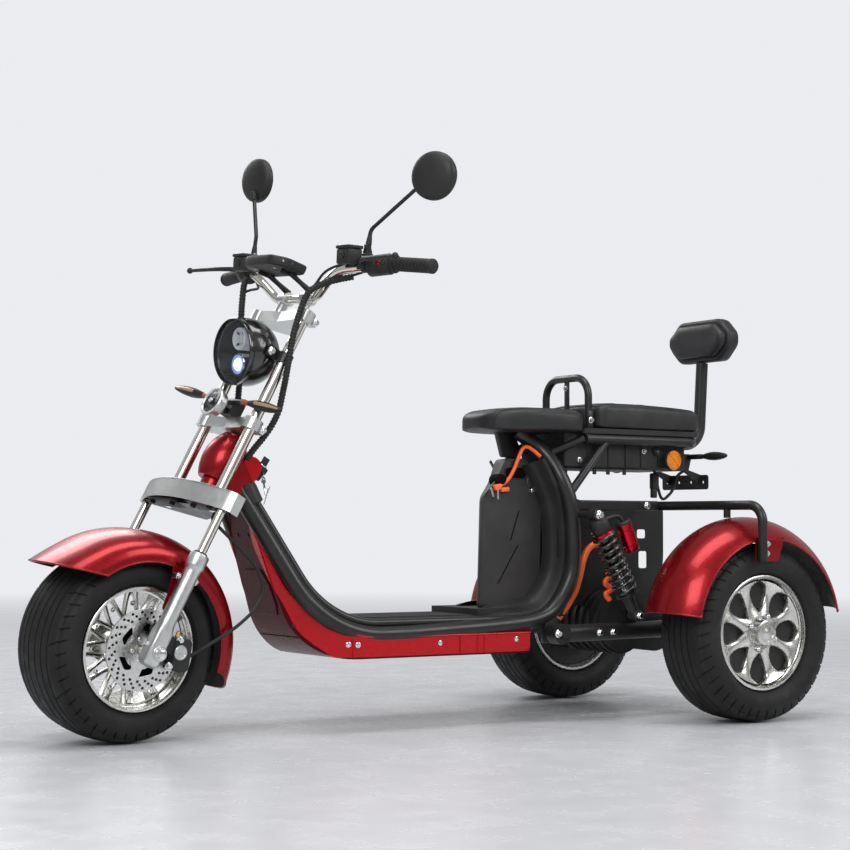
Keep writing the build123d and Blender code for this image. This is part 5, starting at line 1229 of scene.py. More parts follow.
def makeYokeBolts(d):
    bm = bmesh.new()
    for hand in (1, -1):
        y = hand * d["tubes"]
        addLathe(bm, [(0, 15), (3, 15), (4.5, 13.5), (4.5, 8), (2.5, 7), (2.5, 0)],
                 forkPoint(d["ahead"], y, d["top"]), forkZ, 36)
        for up in (d["mid"], d["top"] - 14):
            m = moveTo(forkPoint(d["ahead"] - d["clampBack"], y, up))
            addBox(bm, d["clamp"], m @ Matrix.Rotation(-radians(stance["rake"]), 4, "Y"), 3, 2, 1)
            addBolt(bm, forkPoint(d["ahead"] - d["clampBack"], y + hand * 13, up), yDir * hand, 11, 7, 0)
        addBolt(bm, forkPoint(d["ahead"] + d["lampAhead"], y - hand * 2.8, d["lamp"]), yDir * hand, 13, 7, 0)
    nut = [(0, 22), (4, 22), (8, 17), (12, 17), (14, 14), (14, 0)]
    addLathe(bm, nut, forkPoint(d["stemAhead"], 0, d["top"]), forkZ, 6)
    toPiece(bm, "yokeBolts", [boltSteel, castSilver], "steering", None, angle=35)


makeYokeBolts(yokeFit)
print("fork made")

# lamps: headlamp with two projectors behind a clear dome, horn, indicators

headlamp = {
    "up": 900, "front": 1277, "back": 1157, "radius": 78, "wall": 4, "bulge": 16, "projectorUp": (31, -30),
    "projector": 27, "facets": 8, "bolt": (25, 84, 759)}


def bulb(start, wide, high):
    # a quarter round from a rim to its tip, for lenses
    return [(start, wide)] + [(start + high * sin(t), wide * cos(t))
                              for t in (k * pi / 16 for k in range(1, 9))]


def makeHeadlamp(d):
    bm = bmesh.new()
    at = Vector((0, 0, d["up"]))
    f, r = d["front"], d["radius"]
    depth = f - 14 - d["back"]
    ball = (r * r + depth * depth) / (2 * depth)
    middle = d["back"] + ball
    end = acos((middle - (f - 14)) / ball)
    shell = [(middle - ball * cos(end * k / 26), ball * sin(end * k / 26)) for k in range(27)]
    shell += [(f - 13, r + 1.2), (f - 11, r + 2), (f - 2, r + 2), (f, r + 0.6), (f, r - d["wall"] + 1),
              (f - 10, r - d["wall"])]
    shell += [(f - 12, r - 6), (f - 70, r - 14), (f - 76, 0)]
    addLathe(bm, shell, at, xDir, 72)
    for up, lit in zip(d["projectorUp"], (False, True)):
        p, w = at + zDir * up, d["projector"]
        barrel = [(f - 70, w), (f - 20, w), (f - 18, w - 1.5), (f - 18, w - 4), (f - 28, w - 6),
                  (f - 36, w - 12), (f - 38, 0)]
        # the unlit projector's barrel glows faintly, a painted light
        addLathe(bm, barrel, p, xDir, 44, 1 if lit else 6)
        if lit:
            addLathe(bm, bulb(f - 30, w - 4.5, 14), p, xDir, 36, 5)
            addLathe(bm, bulb(f - 20, w - 12, 8), p, xDir, 36, 3)
        else:
            addLathe(bm, bulb(f - 35, w - 8, 12), p, xDir, 36, 4)
            for k in range(d["facets"]):  # facets round the unlit projector
                turn = 2 * pi * k / d["facets"]
                m = moveTo(p + Vector((f - 26, cos(turn) * (w - 7), sin(turn) * (w - 7))))
                # every other facet takes the faint painted glow
                addBox(bm, (7, 2.5, 12), m @ Matrix.Rotation(-turn, 4, "X"), 0.6, 1, 0 if k % 2 else 6)
    ahead, side, up = d["bolt"]
    for hand in (1, -1):
        addDome(bm, forkPoint(ahead, hand * side, up), yDir * hand, 9, 5, 2, 20)
    finishes = [glossBlack, lampReflector, boltSteel, lampGlow, clearLens, lampHalo, paintedProjectorGlow]
    toPiece(bm, "headlampUnit", finishes, "steering", "headlamp_bowl", angle=34)
    bm = bmesh.new()
    seat, bulge = r - d["wall"] - 0.2, d["bulge"]
    ball = (seat * seat + bulge * bulge) / (2 * bulge)
    half = acos((ball - bulge) / ball)
    outside = [(f - 4 + bulge - ball + ball * cos(half * k / 14), ball * sin(half * k / 14))
               for k in range(14, -1, -1)]
    addLathe(bm, [(f - 10, seat)] + outside, at, xDir, 72)
    toPiece(bm, "headlampDome", lampGlass, "steering", "headlamp_lens", angle=60)


makeHeadlamp(headlamp)

hornFit = {"ahead": 54, "up": 604, "radius": 37, "depth": 26}


def makeHorn(d):
    bm = bmesh.new()
    back, r, deep = forkPoint(d["ahead"] - d["depth"] / 2, 0, d["up"]), d["radius"], d["depth"]
    addLathe(bm, [(0, 14), (0, r - 7), (3, r - 5), (deep - 9, r - 5), (deep - 8, r), (deep - 2, r),
                  (deep, r - 2), (deep, r - 5), (deep - 3, r - 7)], back, forkX, 60)
    dish = [(deep - 3, r - 7), (deep - 6, r - 9), (deep - 6, r - 14), (deep - 4, r - 16), (deep - 7, r - 18),
            (deep - 7, r - 23), (deep - 5, r - 25), (deep - 5, 9), (deep - 1, 8), (deep, 6), (deep, 0)]
    addLathe(bm, dish, back, forkX, 48, 1)
    addBolt(bm, back + forkX * deep, forkX, 8, 4, 2)
    toPiece(bm, "discHorn", [castSilver, plasticBlack, boltSteel], "steering", "horn",
            angle=30)


makeHorn(hornFit)

indicator = {
    "neck": 0.2,
    # root and end of each stalk
    "front": (((1280, 58, 781), (1259, 187, 764)), ((1290, -60, 790), (1299, -204, 811))),
    "rear": (((-100, 105.2, 680), (-100, 215.2, 680)), ((-100, -105.2, 680), (-100, -215.2, 680))),
    # share of the length, half sizes
    "sections": ((0.2, 8, 8), (0.28, 11, 10), (0.4, 14, 13), (0.55, 15, 14.5), (0.72, 13.5, 13),
        (0.86, 10, 10), (0.95, 6.5, 7), (1, 3.5, 4))}


def addIndicator(bm, d, root, end, ahead):
    root, reach = Vector(root), Vector(end) - Vector(root)
    out, length = reach.normalized(), reach.length
    up = ahead.cross(out)
    neck = [(0, 7), (3, 7), (4, 6.2), (6, 7), (8, 6.2), (10, 7), (12, 6.2), (length * d["neck"] + 2, 6.4)]
    addLathe(bm, neck, root, out, 20, 2)
    case, lens = [], []
    for t, a, b in d["sections"]:
        at = root + out * length * t
        case.append(squareRing(at, ahead, up, a * 0.92, b * 0.8, 2.6, 24))
        lens.append(squareRing(at + ahead * a * 0.36, ahead, up, a * 0.62, b * 0.5, 2.4, 20))
    addLoft(bm, case)
    addLoft(bm, lens[2:-1], 1)


def makeIndicators(d):
    bm = bmesh.new()
    for root, end in d["front"]:
        addIndicator(bm, d, root, end, forkX)
    toPiece(bm, "frontIndicators", [plasticBlack, paleLens, indicatorNeck], "steering", "front_signals",
            angle=38)
    bm = bmesh.new()
    for root, end in d["rear"]:
        addIndicator(bm, d, root, end, -xDir)
    toPiece(bm, "rearIndicators", [plasticBlack, amberLens, plasticBlack], "frame", "rear_signals",
            angle=38)


makeIndicators(indicator)
print("lamps made")

# bar ends: grips, switches, levers, reservoirs, mirrors, display

barGear = {
    "gripStart": (1042, 302, 1115), "gripEnd": (1020, 424, 1106), "bendOut": (1103, 165, 1100),
    "gripRadius": 17, "switchRadius": 25, "switchLong": 60,
    "lever": ((1082, 238, 1114), (1096, 252, 1118), (1112, 268, 1119.5), (1124, 300, 1120),
        (1129, 340, 1120), (1132, 385, 1120), (1133, 424, 1120)),
    "leverRadius": (7, 6.2, 6, 5.6, 5, 4.8, 4.6), "cup": (1104, 216, 1112), "cupSize": (44, 52, 44),
    "mirrorFoot": (1066, 236, 1146), "gripRibs": 9, "switches": ((12, 1), (24, 2), (36, 1)),
    "cupScrew": (15, 19), "cupArm": ((1080, 226, 1112), (1072, 230, 1112))}


def makeBarGear(d):
    grips, gear = bmesh.new(), bmesh.new()
    for hand in (1, -1):
        flip = lambda p: Vector((p[0], hand * p[1], p[2]))
        start, end, bend = flip(d["gripStart"]), flip(d["gripEnd"]), flip(d["bendOut"])
        along = (end - start).normalized()
        long, r = (end - start).length + 4, d["gripRadius"]
        first = 0.06 * (end - start).length
        profile = [(first - 4, 12), (first - 4, r + 5), (first + 2, r + 5), (first + 4, r - 0.5)]
        step = (long - first - 26) / d["gripRibs"]
        for k in range(d["gripRibs"]):
            a = first + 10 + step * k
            profile += [(a, r), (a + step * 0.66, r), (a + step * 0.74, r - 1.4), (a + step * 0.92, r - 1.4)]
        profile += [(long - 13, r + 0.6), (long - 5, r + 0.6), (long - 1.5, r - 2), (long, r - 7), (long, 0)]
        addLathe(grips, profile, start, along, 36)
        inward = (bend - start).normalized()
        sr, sl = d["switchRadius"], d["switchLong"]
        body = [(0.02 * (bend - start).length, 12), (3, sr - 1.5), (5, sr), (sl / 2 - 1, sr),
                (sl / 2 - 0.4, sr - 1), (sl / 2 + 0.4, sr - 1), (sl / 2 + 1, sr), (sl - 3, sr), (sl, sr - 2),
                (sl + 1, 14), (sl + 18, 14.5), (sl + 18, 11.2)]
        addLathe(gear, body, start, inward, 32)
        side = inward.cross(zDir).normalized() * hand
        for place, colour in d["switches"]:  # thumb switches on the rider's side
            m = planeMatrix(start + inward * place - side * (sr - 1) + zDir * 3, -side)
            addBox(gear, (9, 11, 7), m, 1.5, 2, colour)
        path = [flip(p) for p in d["lever"]]
        addTube(gear, path, list(d["leverRadius"]), 14, 0, flat=0.72, upHint=zDir)
        bmesh.ops.create_uvsphere(gear, u_segments=20, v_segments=12, radius=8, matrix=moveTo(path[-1]))
        addLathe(gear, [(-13, 0), (-13, 12), (-11, 13), (11, 13), (13, 12), (13, 6), (11, 5), (11, 0)],
                 path[0], zDir, 30)
        addBolt(gear, path[0] + zDir * 13, zDir, 9, 4, 3)
        cup, (cx, cy, cz) = flip(d["cup"]), d["cupSize"]
        addBox(gear, (cx - 3, cy - 3, cz - 8), moveTo(cup + zDir * (cz - 8) / 2), 4, 3, 0)
        addBox(gear, (cx, cy, 8), moveTo(cup + zDir * (cz - 4)), 2.4)
        x, y = d["cupScrew"]
        for screw in ((-x, -y, cz), (x, y, cz), (-x, y, cz), (x, -y, cz)):
            addLathe(gear, [(0, 3.2), (1.6, 3), (1.6, 1.2), (0.6, 1.2), (0.6, 0)], cup + Vector(screw), zDir,
                     14, 3)
        window = cup + Vector((cx / 2 - 1.5, 0, 20))
        addLathe(gear, [(0, 8), (2, 8), (2.6, 7), (1.6, 6), (1.6, 0)], window, xDir, 24, 1)
        addTube(gear, [cup + Vector((-16, 10 * hand, 4)), *(flip(p) for p in d["cupArm"])], 9, 16)
        foot = flip(d["mirrorFoot"])
        addLathe(gear, [(-40, 12), (-36, 13), (-8, 13), (-6, 11), (0, 11), (0, 5)], foot, zDir, 24)
    toPiece(grips, "ribbedGrips", rubberBlack, "steering", "grips", angle=34)
    toPiece(gear, "barSwitchgear", [plasticBlack, castBlack, redAnodised, boltSteel], "steering",
            "bar_controls", angle=36)


makeBarGear(barGear)

mirrorSet = {
    "table": ((1, (1062, 240, 1196), (1046, 440, 1309), 22), (-1, (1062, -232, 1206), (1046, -268, 1352), 4)),
    "radius": 56, "foot": barGear["mirrorFoot"], "stalk": 5}


def makeMirrors(d):
    bm = bmesh.new()
    r = d["radius"]
    for hand, bend, centre, turn in d["table"]:
        foot = Vector((d["foot"][0], hand * d["foot"][1], d["foot"][2]))
        centre, bend = Vector(centre), Vector(bend)
        back = Vector((cos(radians(turn)), sin(radians(turn)), 0))
        addLathe(bm, [(-10, r - 4), (-12, r - 3), (-13, r - 1.5), (-12, r), (-5, r), (0, r - 0.8), (4, r - 4),
                      (7.5, r - 10), (10, r - 19), (12, r - 32), (13, 10), (13, 0)], centre, back, 60)
        addLathe(bm, [(-10.5, r - 3.6), (-10.6, 0)], centre, back, 48, 1)
        joint = centre + (bend - centre).normalized() * (r - 14) + back * 6
        route = roundPath([foot + zDir * 4, bend, joint], [22], 8)
        addTube(bm, route, d["stalk"], 14, 2)
        addLathe(bm, [(-12, 8), (0, 9), (8, 9), (11, 6.5)], joint, (centre - bend).normalized(), 20)
        addLathe(bm, [(0.2, 9.5), (5, 9.5), (5, 8.6), (14, 8.6), (15, 7.6), (15, 5)], foot, zDir, 6, 2)
        addLathe(bm, [(15, 7.5), (20, 7.2), (34, 5.6), (36, 5)], foot, (bend - foot).normalized(), 18)
    toPiece(bm, "roundMirrors", [plasticBlack, mirrorGlass, frameBlack], "steering", "mirrors",
            angle=34)


makeMirrors(mirrorSet)

dash = {
    "centre": (1168, 0, 1112), "tilt": 14, "long": 96, "wide": 168, "thick": 24, "legSide": 46,
    "legAhead": -20, "legFoot": 957}


def makeDash(d):
    bm = bmesh.new()
    m = moveTo(d["centre"]) @ Matrix.Rotation(-radians(d["tilt"]), 4, "Y")
    x, y, t = d["long"] / 2, d["wide"] / 2, d["thick"] / 2
    outline = [(x, -y * 0.62), (x, y * 0.62), (x * 0.35, y), (-x, y * 0.92), (-x, -y * 0.92), (x * 0.35, -y)]
    ring = softCorners(outline, 12, 4)
    levels = ((-t, 0.9), (-t + 3, 0.97), (0, 1.0), (t - 4, 1.0), (t - 1.5, 0.975), (t - 0.5, 0.94),
              (t - 0.5, 0.86), (t - 2.5, 0.85))
    rings = [[m @ Vector((px * k, py * k, z)) for px, py in ring] for z, k in levels]
    verts = addGrid(bm, rings, wrapV=True, mat=0)
    bm.faces.new(list(reversed(verts[0]))).material_index = 0
    bm.faces.new(verts[-1]).material_index = 1
    for hand in (1, -1):
        side, ahead = hand * d["legSide"], d["legAhead"]
        addBox(bm, (30, 5, 10), m @ moveTo((ahead / 2, side, -t - 4)), 1.5)
        clamp, under = forkPoint(ahead, side, d["legFoot"]), m @ Vector((ahead, side, -t))
        addTube(bm, [clamp, clamp.lerp(under, 0.5), under], [8, 6, 7], 14)
        addLathe(bm, [(0, 4), (2, 4), (2.6, 3.2), (2.6, 0)], m @ Vector((20, hand * 40, -t)),
                 -(m.to_3x3() @ zDir), 14, 2)
        marker = m @ moveTo((14, hand * (y - 6), 1)) @ Matrix.Rotation(-hand * 0.28, 4, "Z")
        addBox(bm, (26, 3, 5), marker, 1, 1, 3)
    toPiece(bm, "dashSlab", [plasticBlack, screenGlass, boltSteel, clearLens], "steering", "display",
            angle=30)


makeDash(dash)
print("bar gear made")

# belly: skirts in the red made brighter, a painted light, over a front panel in the red made darker, a
# painted shade; seams and screws

bellyFit = {
    "lift": 2.2, "columns": 26, "bead": 2.4, "side": 152, "rear": 504, "low": 179, "high": 224,
    "tubeEdge": ((1288.7, 562), (1102.4, 224), (504, 224)), "tubeBend": 265,
    "half": ((1000, 152), (1060, 132), (1118, 104), (1198, 76), (1262, 60)),
    "front": ((1250, 52, 512), (1238, 46, 480), (1226, 42, 440), (1211, 52, 402), (1192, 76, 345),
        (1169, 86, 302), (1138, 97, 244), (1104, 111, 212), (1066, 130, 184)),
    "screws": ((1027, 143, 209), (1005, 150, 208), (774, 152, 206), (546, 152, 209)),
    "joints": (1016, 664, 643), "thinJoint": 716,
    "panelScrews": ((1234, 26, 466), (1200, 45, 368), (1146, 92, 256)),
    "hatch": ((1205, 40, 384), (1194, 62, 350), (1176, 66, 302), (1165, 58, 280)), "seam": (1130, 100, 226)}
bellySkin = BVHTree.FromObject(nodes["belly_fairing"], bpy.context.evaluated_depsgraph_get())
bellyToFrame = nodes["belly_fairing"].matrix_world.inverted() @ toFrame


def onBelly(place, inside, lift):
    # the point of the belly's skin seen from outside towards a point inside it
    aim = (asVector(inside) - asVector(place)).normalized()
    start = bellyToFrame @ (asVector(place) - aim * 300)
    hit, normal, _, _ = bellySkin.ray_cast(start, (bellyToFrame.to_3x3() @ aim).normalized())
    if hit is None:
        return asVector(place), -aim
    normal = (bellyToFrame.to_3x3().inverted() @ normal).normalized()
    return bellyToFrame.inverted() @ hit + normal * lift, normal


def makeBelly(d):
    for hand, label in ((1, "left"), (-1, "right")):
        bm = bmesh.new()
        bend = roundPath([(s, 0, z) for s, z in d["tubeEdge"]], [d["tubeBend"]], 3)
        edge = [(p.x, p.z) for p in smoothRun(bend, 3)]
        fine = []
        for b in smoothRun([(s, y if hand > 0 else -through(d["half"], s), z) for s, y, z in d["front"]], 9):
            s, z = min(edge, key=lambda e: (e[0] - b.x) ** 2 + (e[1] - b.z) ** 2)
            fine.append((Vector((s, hand * through(d["half"], s), z)), b))
        top, foot = fine[-1]
        for k in range(1, 41):
            s = top.x + (d["rear"] - top.x) * k / 40
            low = foot.x + (d["rear"] - foot.x) * k / 40
            z = min(edge, key=lambda e: abs(e[0] - s))[1]
            fine.append((Vector((s, hand * d["side"], z)), Vector((low, hand * d["side"], d["low"]))))
        outer, inner = [], []
        for a, b in fine:
            heart = Vector(((a.x + b.x) / 2 - 60, 0, (a.z + b.z) / 2 + 30)) if a.x > 1080 else None
            row = []
            for k in range(d["columns"] + 1):
                p = a.lerp(b, k / d["columns"])
                row.append(onBelly(p, heart or Vector((p.x, 0, p.z)), d["lift"]))
            outer.append([p for p, n in row])
            inner.append([p - n * (d["lift"] + 0.6) for p, n in row])
        fenderShell(bm, outer, inner, 1.1)
        addTube(bm, [row[0] for row in outer], d["bead"], 10)
        for place in d["screws"]:
            p, n = onBelly((place[0], hand * place[1], place[2]), (place[0], 0, place[2]), d["lift"])
            addLathe(bm, [(-0.5, 6.5), (1.6, 6.5), (2.6, 5.2), (2.6, 2.6), (1.2, 2.4), (1.2, 0)], p, n, 18, 1)
        for s, wide in [(j, 2.2) for j in d["joints"]] + [(d["thinJoint"], 0.8)]:
            line = [onBelly((s, hand * d["side"], z), (s, 0, z), d["lift"] + 0.3)[0]
                    for z in range(d["low"] + 1, d["high"], 4)]
            addTube(bm, line, wide, 8, 0 if wide > 1 else 2)
        # the skirts take the red made brighter, a painted light
        toPiece(bm, f"{label}Skirt", [paintedLightRed, boltSteel, seamAndPaintedShade], "frame", angle=40)
    bm = bmesh.new()
    heart = Vector((1100, 0, 330))
    rows = []
    for s, y, z in d["hatch"]:
        rows.append([onBelly((s, y * (k / 8 - 1), z), (s - 90, y * (k / 8 - 1), z), 3.4) for k in range(17)])
    fenderShell(bm, [[p for p, n in row] for row in rows], [[p - n * 4 for p, n in row] for row in rows], 1.6)
    s, y, z = d["seam"]
    addTube(bm, [onBelly((s, y * (k / 10 - 1), z), (s - 90, y * (k / 10 - 1), z), 0.6)[0] for k in range(21)],
            1.4, 8)
    for s, y, z in d["panelScrews"]:
        for hand in (1, -1):
            p, n = onBelly((s, hand * y, z), heart, 0)
            addLathe(bm, [(-0.5, 4.5), (1.4, 4.5), (2.2, 3.4), (2.2, 0)], p, n, 16, 1)
    # the front panel takes the red made darker, a painted shade
    toPiece(bm, "bellyPanel", [paintedShadeRed, castBlack], "frame", angle=40)


makeBelly(bellyFit)

# neck: key lock with its keys, red collars over the tubes and their boots

keyLock = {
    "place": (1198, 14, 622), "tilt": (-0.5, 0.25, 0.83), "keys": ((1190, 22, 583), (1186, 28, 561)),
    "bracket": (1234, 8, 630), "bracketSize": (84, 22, 30), "ringRadius": 12}


def makeKeyLock(d):
    bm = bmesh.new()
    place, tilt = Vector(d["place"]), Vector(d["tilt"]).normalized()
    addLathe(bm, [(-26, 10), (-24, 14), (-6, 15), (-4, 18), (8, 18), (10, 16), (10, 0)], place, tilt, 32)
    addLathe(bm, [(9, 12), (12, 12), (13, 11), (13, 3), (12, 2.6), (12, 0)], place, tilt, 28, 1)
    addBox(bm, (18, 3, 22), planeMatrix(place + tilt * 22, yDir, tilt) @ Matrix.Rotation(pi / 2, 4, "X"), 1.2)
    addBox(bm, d["bracketSize"], moveTo(d["bracket"]) @ Matrix.Rotation(-0.12, 4, "Y"), 4)
    r = d["ringRadius"]
    ring = [place + tilt * 8 + Vector((0, r * cos(t), r * sin(t) - 16))
            for t in (k * pi / 9 for k in range(18))]
    addTube(bm, ring, 1.1, 8, 1, closed=True)
    bow = softCorners([(-9, 6), (9, 6), (9, 22), (-9, 22)], 6)
    blade = [(-3.4, 7), (3.4, 7), (3.4, -8), (1.4, -10), (3.0, -13), (1.0, -16), (2.6, -19), (0, -23),
             (-3.4, -19)]
    for k, spot in enumerate(d["keys"]):
        swing = Matrix.Rotation(0.5 + 0.4 * k, 4, "Z") @ Matrix.Rotation(0.2 - 0.5 * k, 4, "X")
        m = moveTo(spot) @ swing @ Matrix.Rotation(pi / 2, 4, "X")
        addPlate(bm, bow, 2.4, m, [ring2d(3, 14, (0, 17))], 0.6, 1)
        addPlate(bm, blade, 1.8, m, (), 0.3, 1)
    toPiece(bm, "keyLock", [plasticBlack, boltSteel], "frame")


makeKeyLock(keyLock)

neckCollar = {
    "top": (1252, 45, 577), "foot": (1084, 138, 229), "radius": 21, "long": 60, "gussetSide": 38,
    "gussetThick": 5,
    "gusset": ((1243, 655), (1217, 648), (1203, 627), (1221, 594), (1257, 572), (1276, 600))}


def makeNeckCollars(d):
    bm = bmesh.new()
    r, long = d["radius"], d["long"]
    gusset = softCorners([(-s, z) for s, z in d["gusset"]], 9)
    for hand in (1, -1):
        top, foot = (Vector((s, hand * y, z)) for s, y, z in (d["top"], d["foot"]))
        along = (top - foot).normalized()
        addLathe(bm, [(-4, r - 2), (-2, r), (long - 4, r), (long, r - 2), (long, 12)], top, along, 44)
        boot = [(-46, r - 3), (-44, r + 2), (-6, r + 5), (2, r + 4), (4, r + 2), (4, r - 4)]
        addLathe(bm, boot, top, along, 44, 1)
        addPlate(bm, gusset, d["gussetThick"], planeMatrix((0, hand * d["gussetSide"], 0), yDir), (), 1)
    # collars and gussets take the red made brighter, a painted light
    toPiece(bm, "neckCollars", [paintedLightRed, plasticBlack], "frame", None)


makeNeckCollars(neckCollar)
print("belly made")

# battery: case with a grip slot, framed sides and a nose cut back on the right, its plug and keys, lined bay

battery = {
    "outline": ((399, 284), (599, 284), (587, 563), (545, 601), (508, 664), (441, 664), (415, 601),
        (393, 563)),
    "half": 55, "corner": 14, "cutBack": 0.70, "slot": (476, 626, 70, 30), "lineWide": 3,
    "lines": (((466, 529), (492, 453)), ((469, 441), (531, 344))), "lock": (431, 604), "knob": (527, 607),
    "plug": (538, 589), "keys": ((20, -14, 0.35), (2, -20, 0.05))}
liner = {
    "path": ((640, 250), (590, 250.5), (540, 252), (500, 253.5), (470, 257), (440, 264), (412, 280),
        (388, 306), (368, 338), (356, 372), (350, 414), (349, 444), (351, 491), (357, 534), (366, 570),
        (384, 607), (403, 641), (423, 671)),
    "fade": ((520, 1), (560, 0.9), (640, 0.3)),
    "steps": ((12, 120), (20, 118), (24, 112), (27, 100), (36, 88), (40, 84), (44, 58))}


def inset2d(points, by):
    middle = Vector((sum(p[0] for p in points) / len(points), sum(p[1] for p in points) / len(points)))
    out = []
    for p in points:
        away = Vector(p) - middle
        out.append(tuple(middle + Vector((away.x * (1 - by / 100), away.y * (1 - by / 190)))))
    return out


def makeBatteryCase(d):
    bm = bmesh.new()
    ring = softCorners(d["outline"], d["corner"], 4)
    rear = min(p[0] for p in ring)
    span = max(p[0] for p in ring) - rear
    half = d["half"]

    def rib(y, inset):
        back = d["cutBack"] * (half - y) / span
        return [Vector((rear + (s - rear) * (1 - back), y, z)) for s, z in inset2d(ring, inset)]

    levels = [(-half, 5), (-half + 1.5, 2), (-half + 6, 0), (half - 6, 0), (half - 1.5, 1.4), (half, 3.6),
              (half, 7.5), (half - 2, 8.5)]
    verts = addGrid(bm, [rib(y, i) for y, i in levels], wrapV=True, mat=0)
    for end in (verts[0], verts[-1]):
        bm.faces.new(end).material_index = 0
    s, z, long, high = d["slot"]
    for y, side in ((half - 1.6, 1), (-half - 0.3, -1)):
        shift = 0 if side > 0 else -d["cutBack"] * 2 * half * (s - rear) / span
        wide = long / 2 if side > 0 else long * 0.28
        slot = softCorners([(-wide, -high / 2), (wide, -high / 2), (wide, high / 2), (-wide, high / 2)], 14)
        # painted shade: each grip slot is a dark plate on the face, standing for the shade in the hole
        addPlate(bm, slot, 1.2, planeMatrix((s + shift, y, z), yDir), (), 0.3, 1)
        addTube(bm, [Vector((s + shift + px, y + side * 0.6, z + pz)) for px, pz in slot], 1.8, 8, 0,
                closed=True)
    for a, b in d["lines"]:
        addTube(bm, [Vector((a[0], half - 1.8, a[1])), Vector((b[0], half - 1.8, b[1]))], d["lineWide"] / 2,
                6, 1)
    lock = Vector((d["lock"][0], half - 2, d["lock"][1]))
    addLathe(bm, [(-2, 13), (3, 13), (5, 11), (5, 7), (3, 6), (3, 0)], lock, yDir, 28)
    addLathe(bm, [(0, 6), (6, 6), (7, 5), (7, 0)], lock + Vector((-6, 0, -22)), yDir, 20, 2)
    knob = Vector((d["knob"][0], half - 8, d["knob"][1]))
    addLathe(bm, [(-22, 11), (-20, 15), (-4, 16), (4, 16), (16, 15), (20, 11), (20, 0)], knob, yDir, 28, 1)
    toPiece(bm, "batteryCase", [batteryBlack, seamAndPaintedShade, boltSteel], "frame", "battery_case",
            angle=34)


def makeBatteryPlug(d):
    bm = bmesh.new()
    plug = Vector((d["plug"][0], d["half"] + 6, d["plug"][1]))
    addBox(bm, (22, 13, 15), moveTo(plug) @ Matrix.Rotation(0.2, 4, "Y"), 2.5)
    addBox(bm, (26, 11, 11), moveTo(plug + Vector((-22, -1, -6))) @ Matrix.Rotation(0.1, 4, "Y"), 2)
    blade = [(-2.6, 12), (2.6, 12), (2.6, -9), (0, -13), (-2.6, -9)]
    for ahead, up, swing in d["keys"]:
        m = moveTo(plug + Vector((ahead, 4, up))) @ Matrix.Rotation(swing, 4, "Y")
        addPlate(bm, blade, 1.8, m @ Matrix.Rotation(pi / 2, 4, "X"), (), 0.4, 1)
    toPiece(bm, "batteryPlug", [cableOrange, boltSteel], "frame")


def makeLiner(d):
    bm = bmesh.new()
    path = smoothRun([(s, 0, z) for s, z in d["path"]], 8)
    for hand in (1, -1):
        rows = []
        for i, p in enumerate(path):
            t = (path[min(i + 1, len(path) - 1)] - path[max(i - 1, 0)]).normalized()
            inward = Vector((t.z, 0, -t.x))
            low = through(d["fade"], p.x)
            rows.append([p + inward * off * low + yDir * hand * y for off, y in d["steps"]])
        back = [[p - yDir * hand * 2.5 for p in row] for row in rows]
        fenderShell(bm, rows, back, 0.8)
    toPiece(bm, "bayLiner", [plasticBlack] * 2, "frame", None, angle=40)


makeBatteryCase(battery)
makeBatteryPlug(battery)
makeLiner(liner)
print("battery made")

# cables: orange power cable, ribbed looms, thin cables along the bar

powerLead = {
    "run": ((206, 118, 430), (232, 112, 446), (258, 104, 444), (279, 101, 429), (293, 100, 403),
        (301, 100, 374), (309, 100, 349), (320, 100, 320), (334, 99, 299), (350, 98, 278), (368, 94, 254)),
    "radius": 8.5,
    "knot": ((252, 150, 371), (248, 150, 360), (261, 150, 344), (240, 150, 328), (259, 150, 316),
        (247, 150, 300)),
    "knotRadius": 6.8}


def makePowerLead(d):
    bm = bmesh.new()
    run = smoothRun(d["run"], 5)
    addTube(bm, run, d["radius"], 18)
    addTube(bm, smoothRun(d["knot"], 4), d["knotRadius"], 14)
    addLathe(bm, [(-16, 9), (-14, 11.5), (12, 11.5), (14, 9.5), (14, 8)], run[0], run[0] - run[4], 24, 1)
    toPiece(bm, "powerLead", [cableOrange, plasticBlack], "frame", "power_cable", angle=40)


makePowerLead(powerLead)

looms = {
    "near": ((1076, 196, 1086), (1098, 164, 1078), (1124, 138, 1066), (1150, 123, 1044), (1170, 121, 998),
        (1190, 122, 931), (1201, 121, 855), (1201, 108, 806), (1203, 97, 764), (1214, 88, 730),
        (1233, 81, 699), (1254, 77, 673), (1272, 73, 648)),
    "far": ((1196, -70, 1080), (1208, -62, 1062), (1214, -58, 1020), (1216, -56, 985), (1214, -58, 930),
        (1206, -66, 860), (1204, -72, 801), (1206, -74, 745), (1204, -68, 700)),
    "radius": 8.2, "groove": 0.84, "ribStep": 1.9, "barRadius": 3.2,
    "bar": (((1064, 216, 1096), (1086, 190, 1086), (1106, 158, 1082), (1118, 128, 1066)),
        ((1060, 224, 1122), (1092, 186, 1116), (1118, 148, 1098), (1134, 126, 1064)), ((1064, -216, 1096),
        (1090, -180, 1084), (1120, -130, 1066), (1170, -90, 1056), (1206, -66, 1046)))}


def makeLooms(d):
    bm = bmesh.new()
    for run in (d["near"], d["far"]):
        path = smoothRun(run, d["ribStep"])
        addTube(bm, path, [d["radius"] * (1.0 if k % 4 < 2 else d["groove"]) for k in range(len(path))], 16)
    for run in d["bar"]:
        addTube(bm, smoothRun(run, 5), d["barRadius"], 10)
    toPiece(bm, "ribbedLooms", rubberBlack, "steering", "wiring_loom", angle=50)


makeLooms(looms)
print("cables made")

# rear springs: black head, red collar, damper, red reservoir, with bolts and a slotted side plate

shock = {
    "side": 205, "top": (336, 519), "foot": (206, 262), "can": ((214, 428), (248, 505)), "canRadius": 20,
    "springSeat": 66}


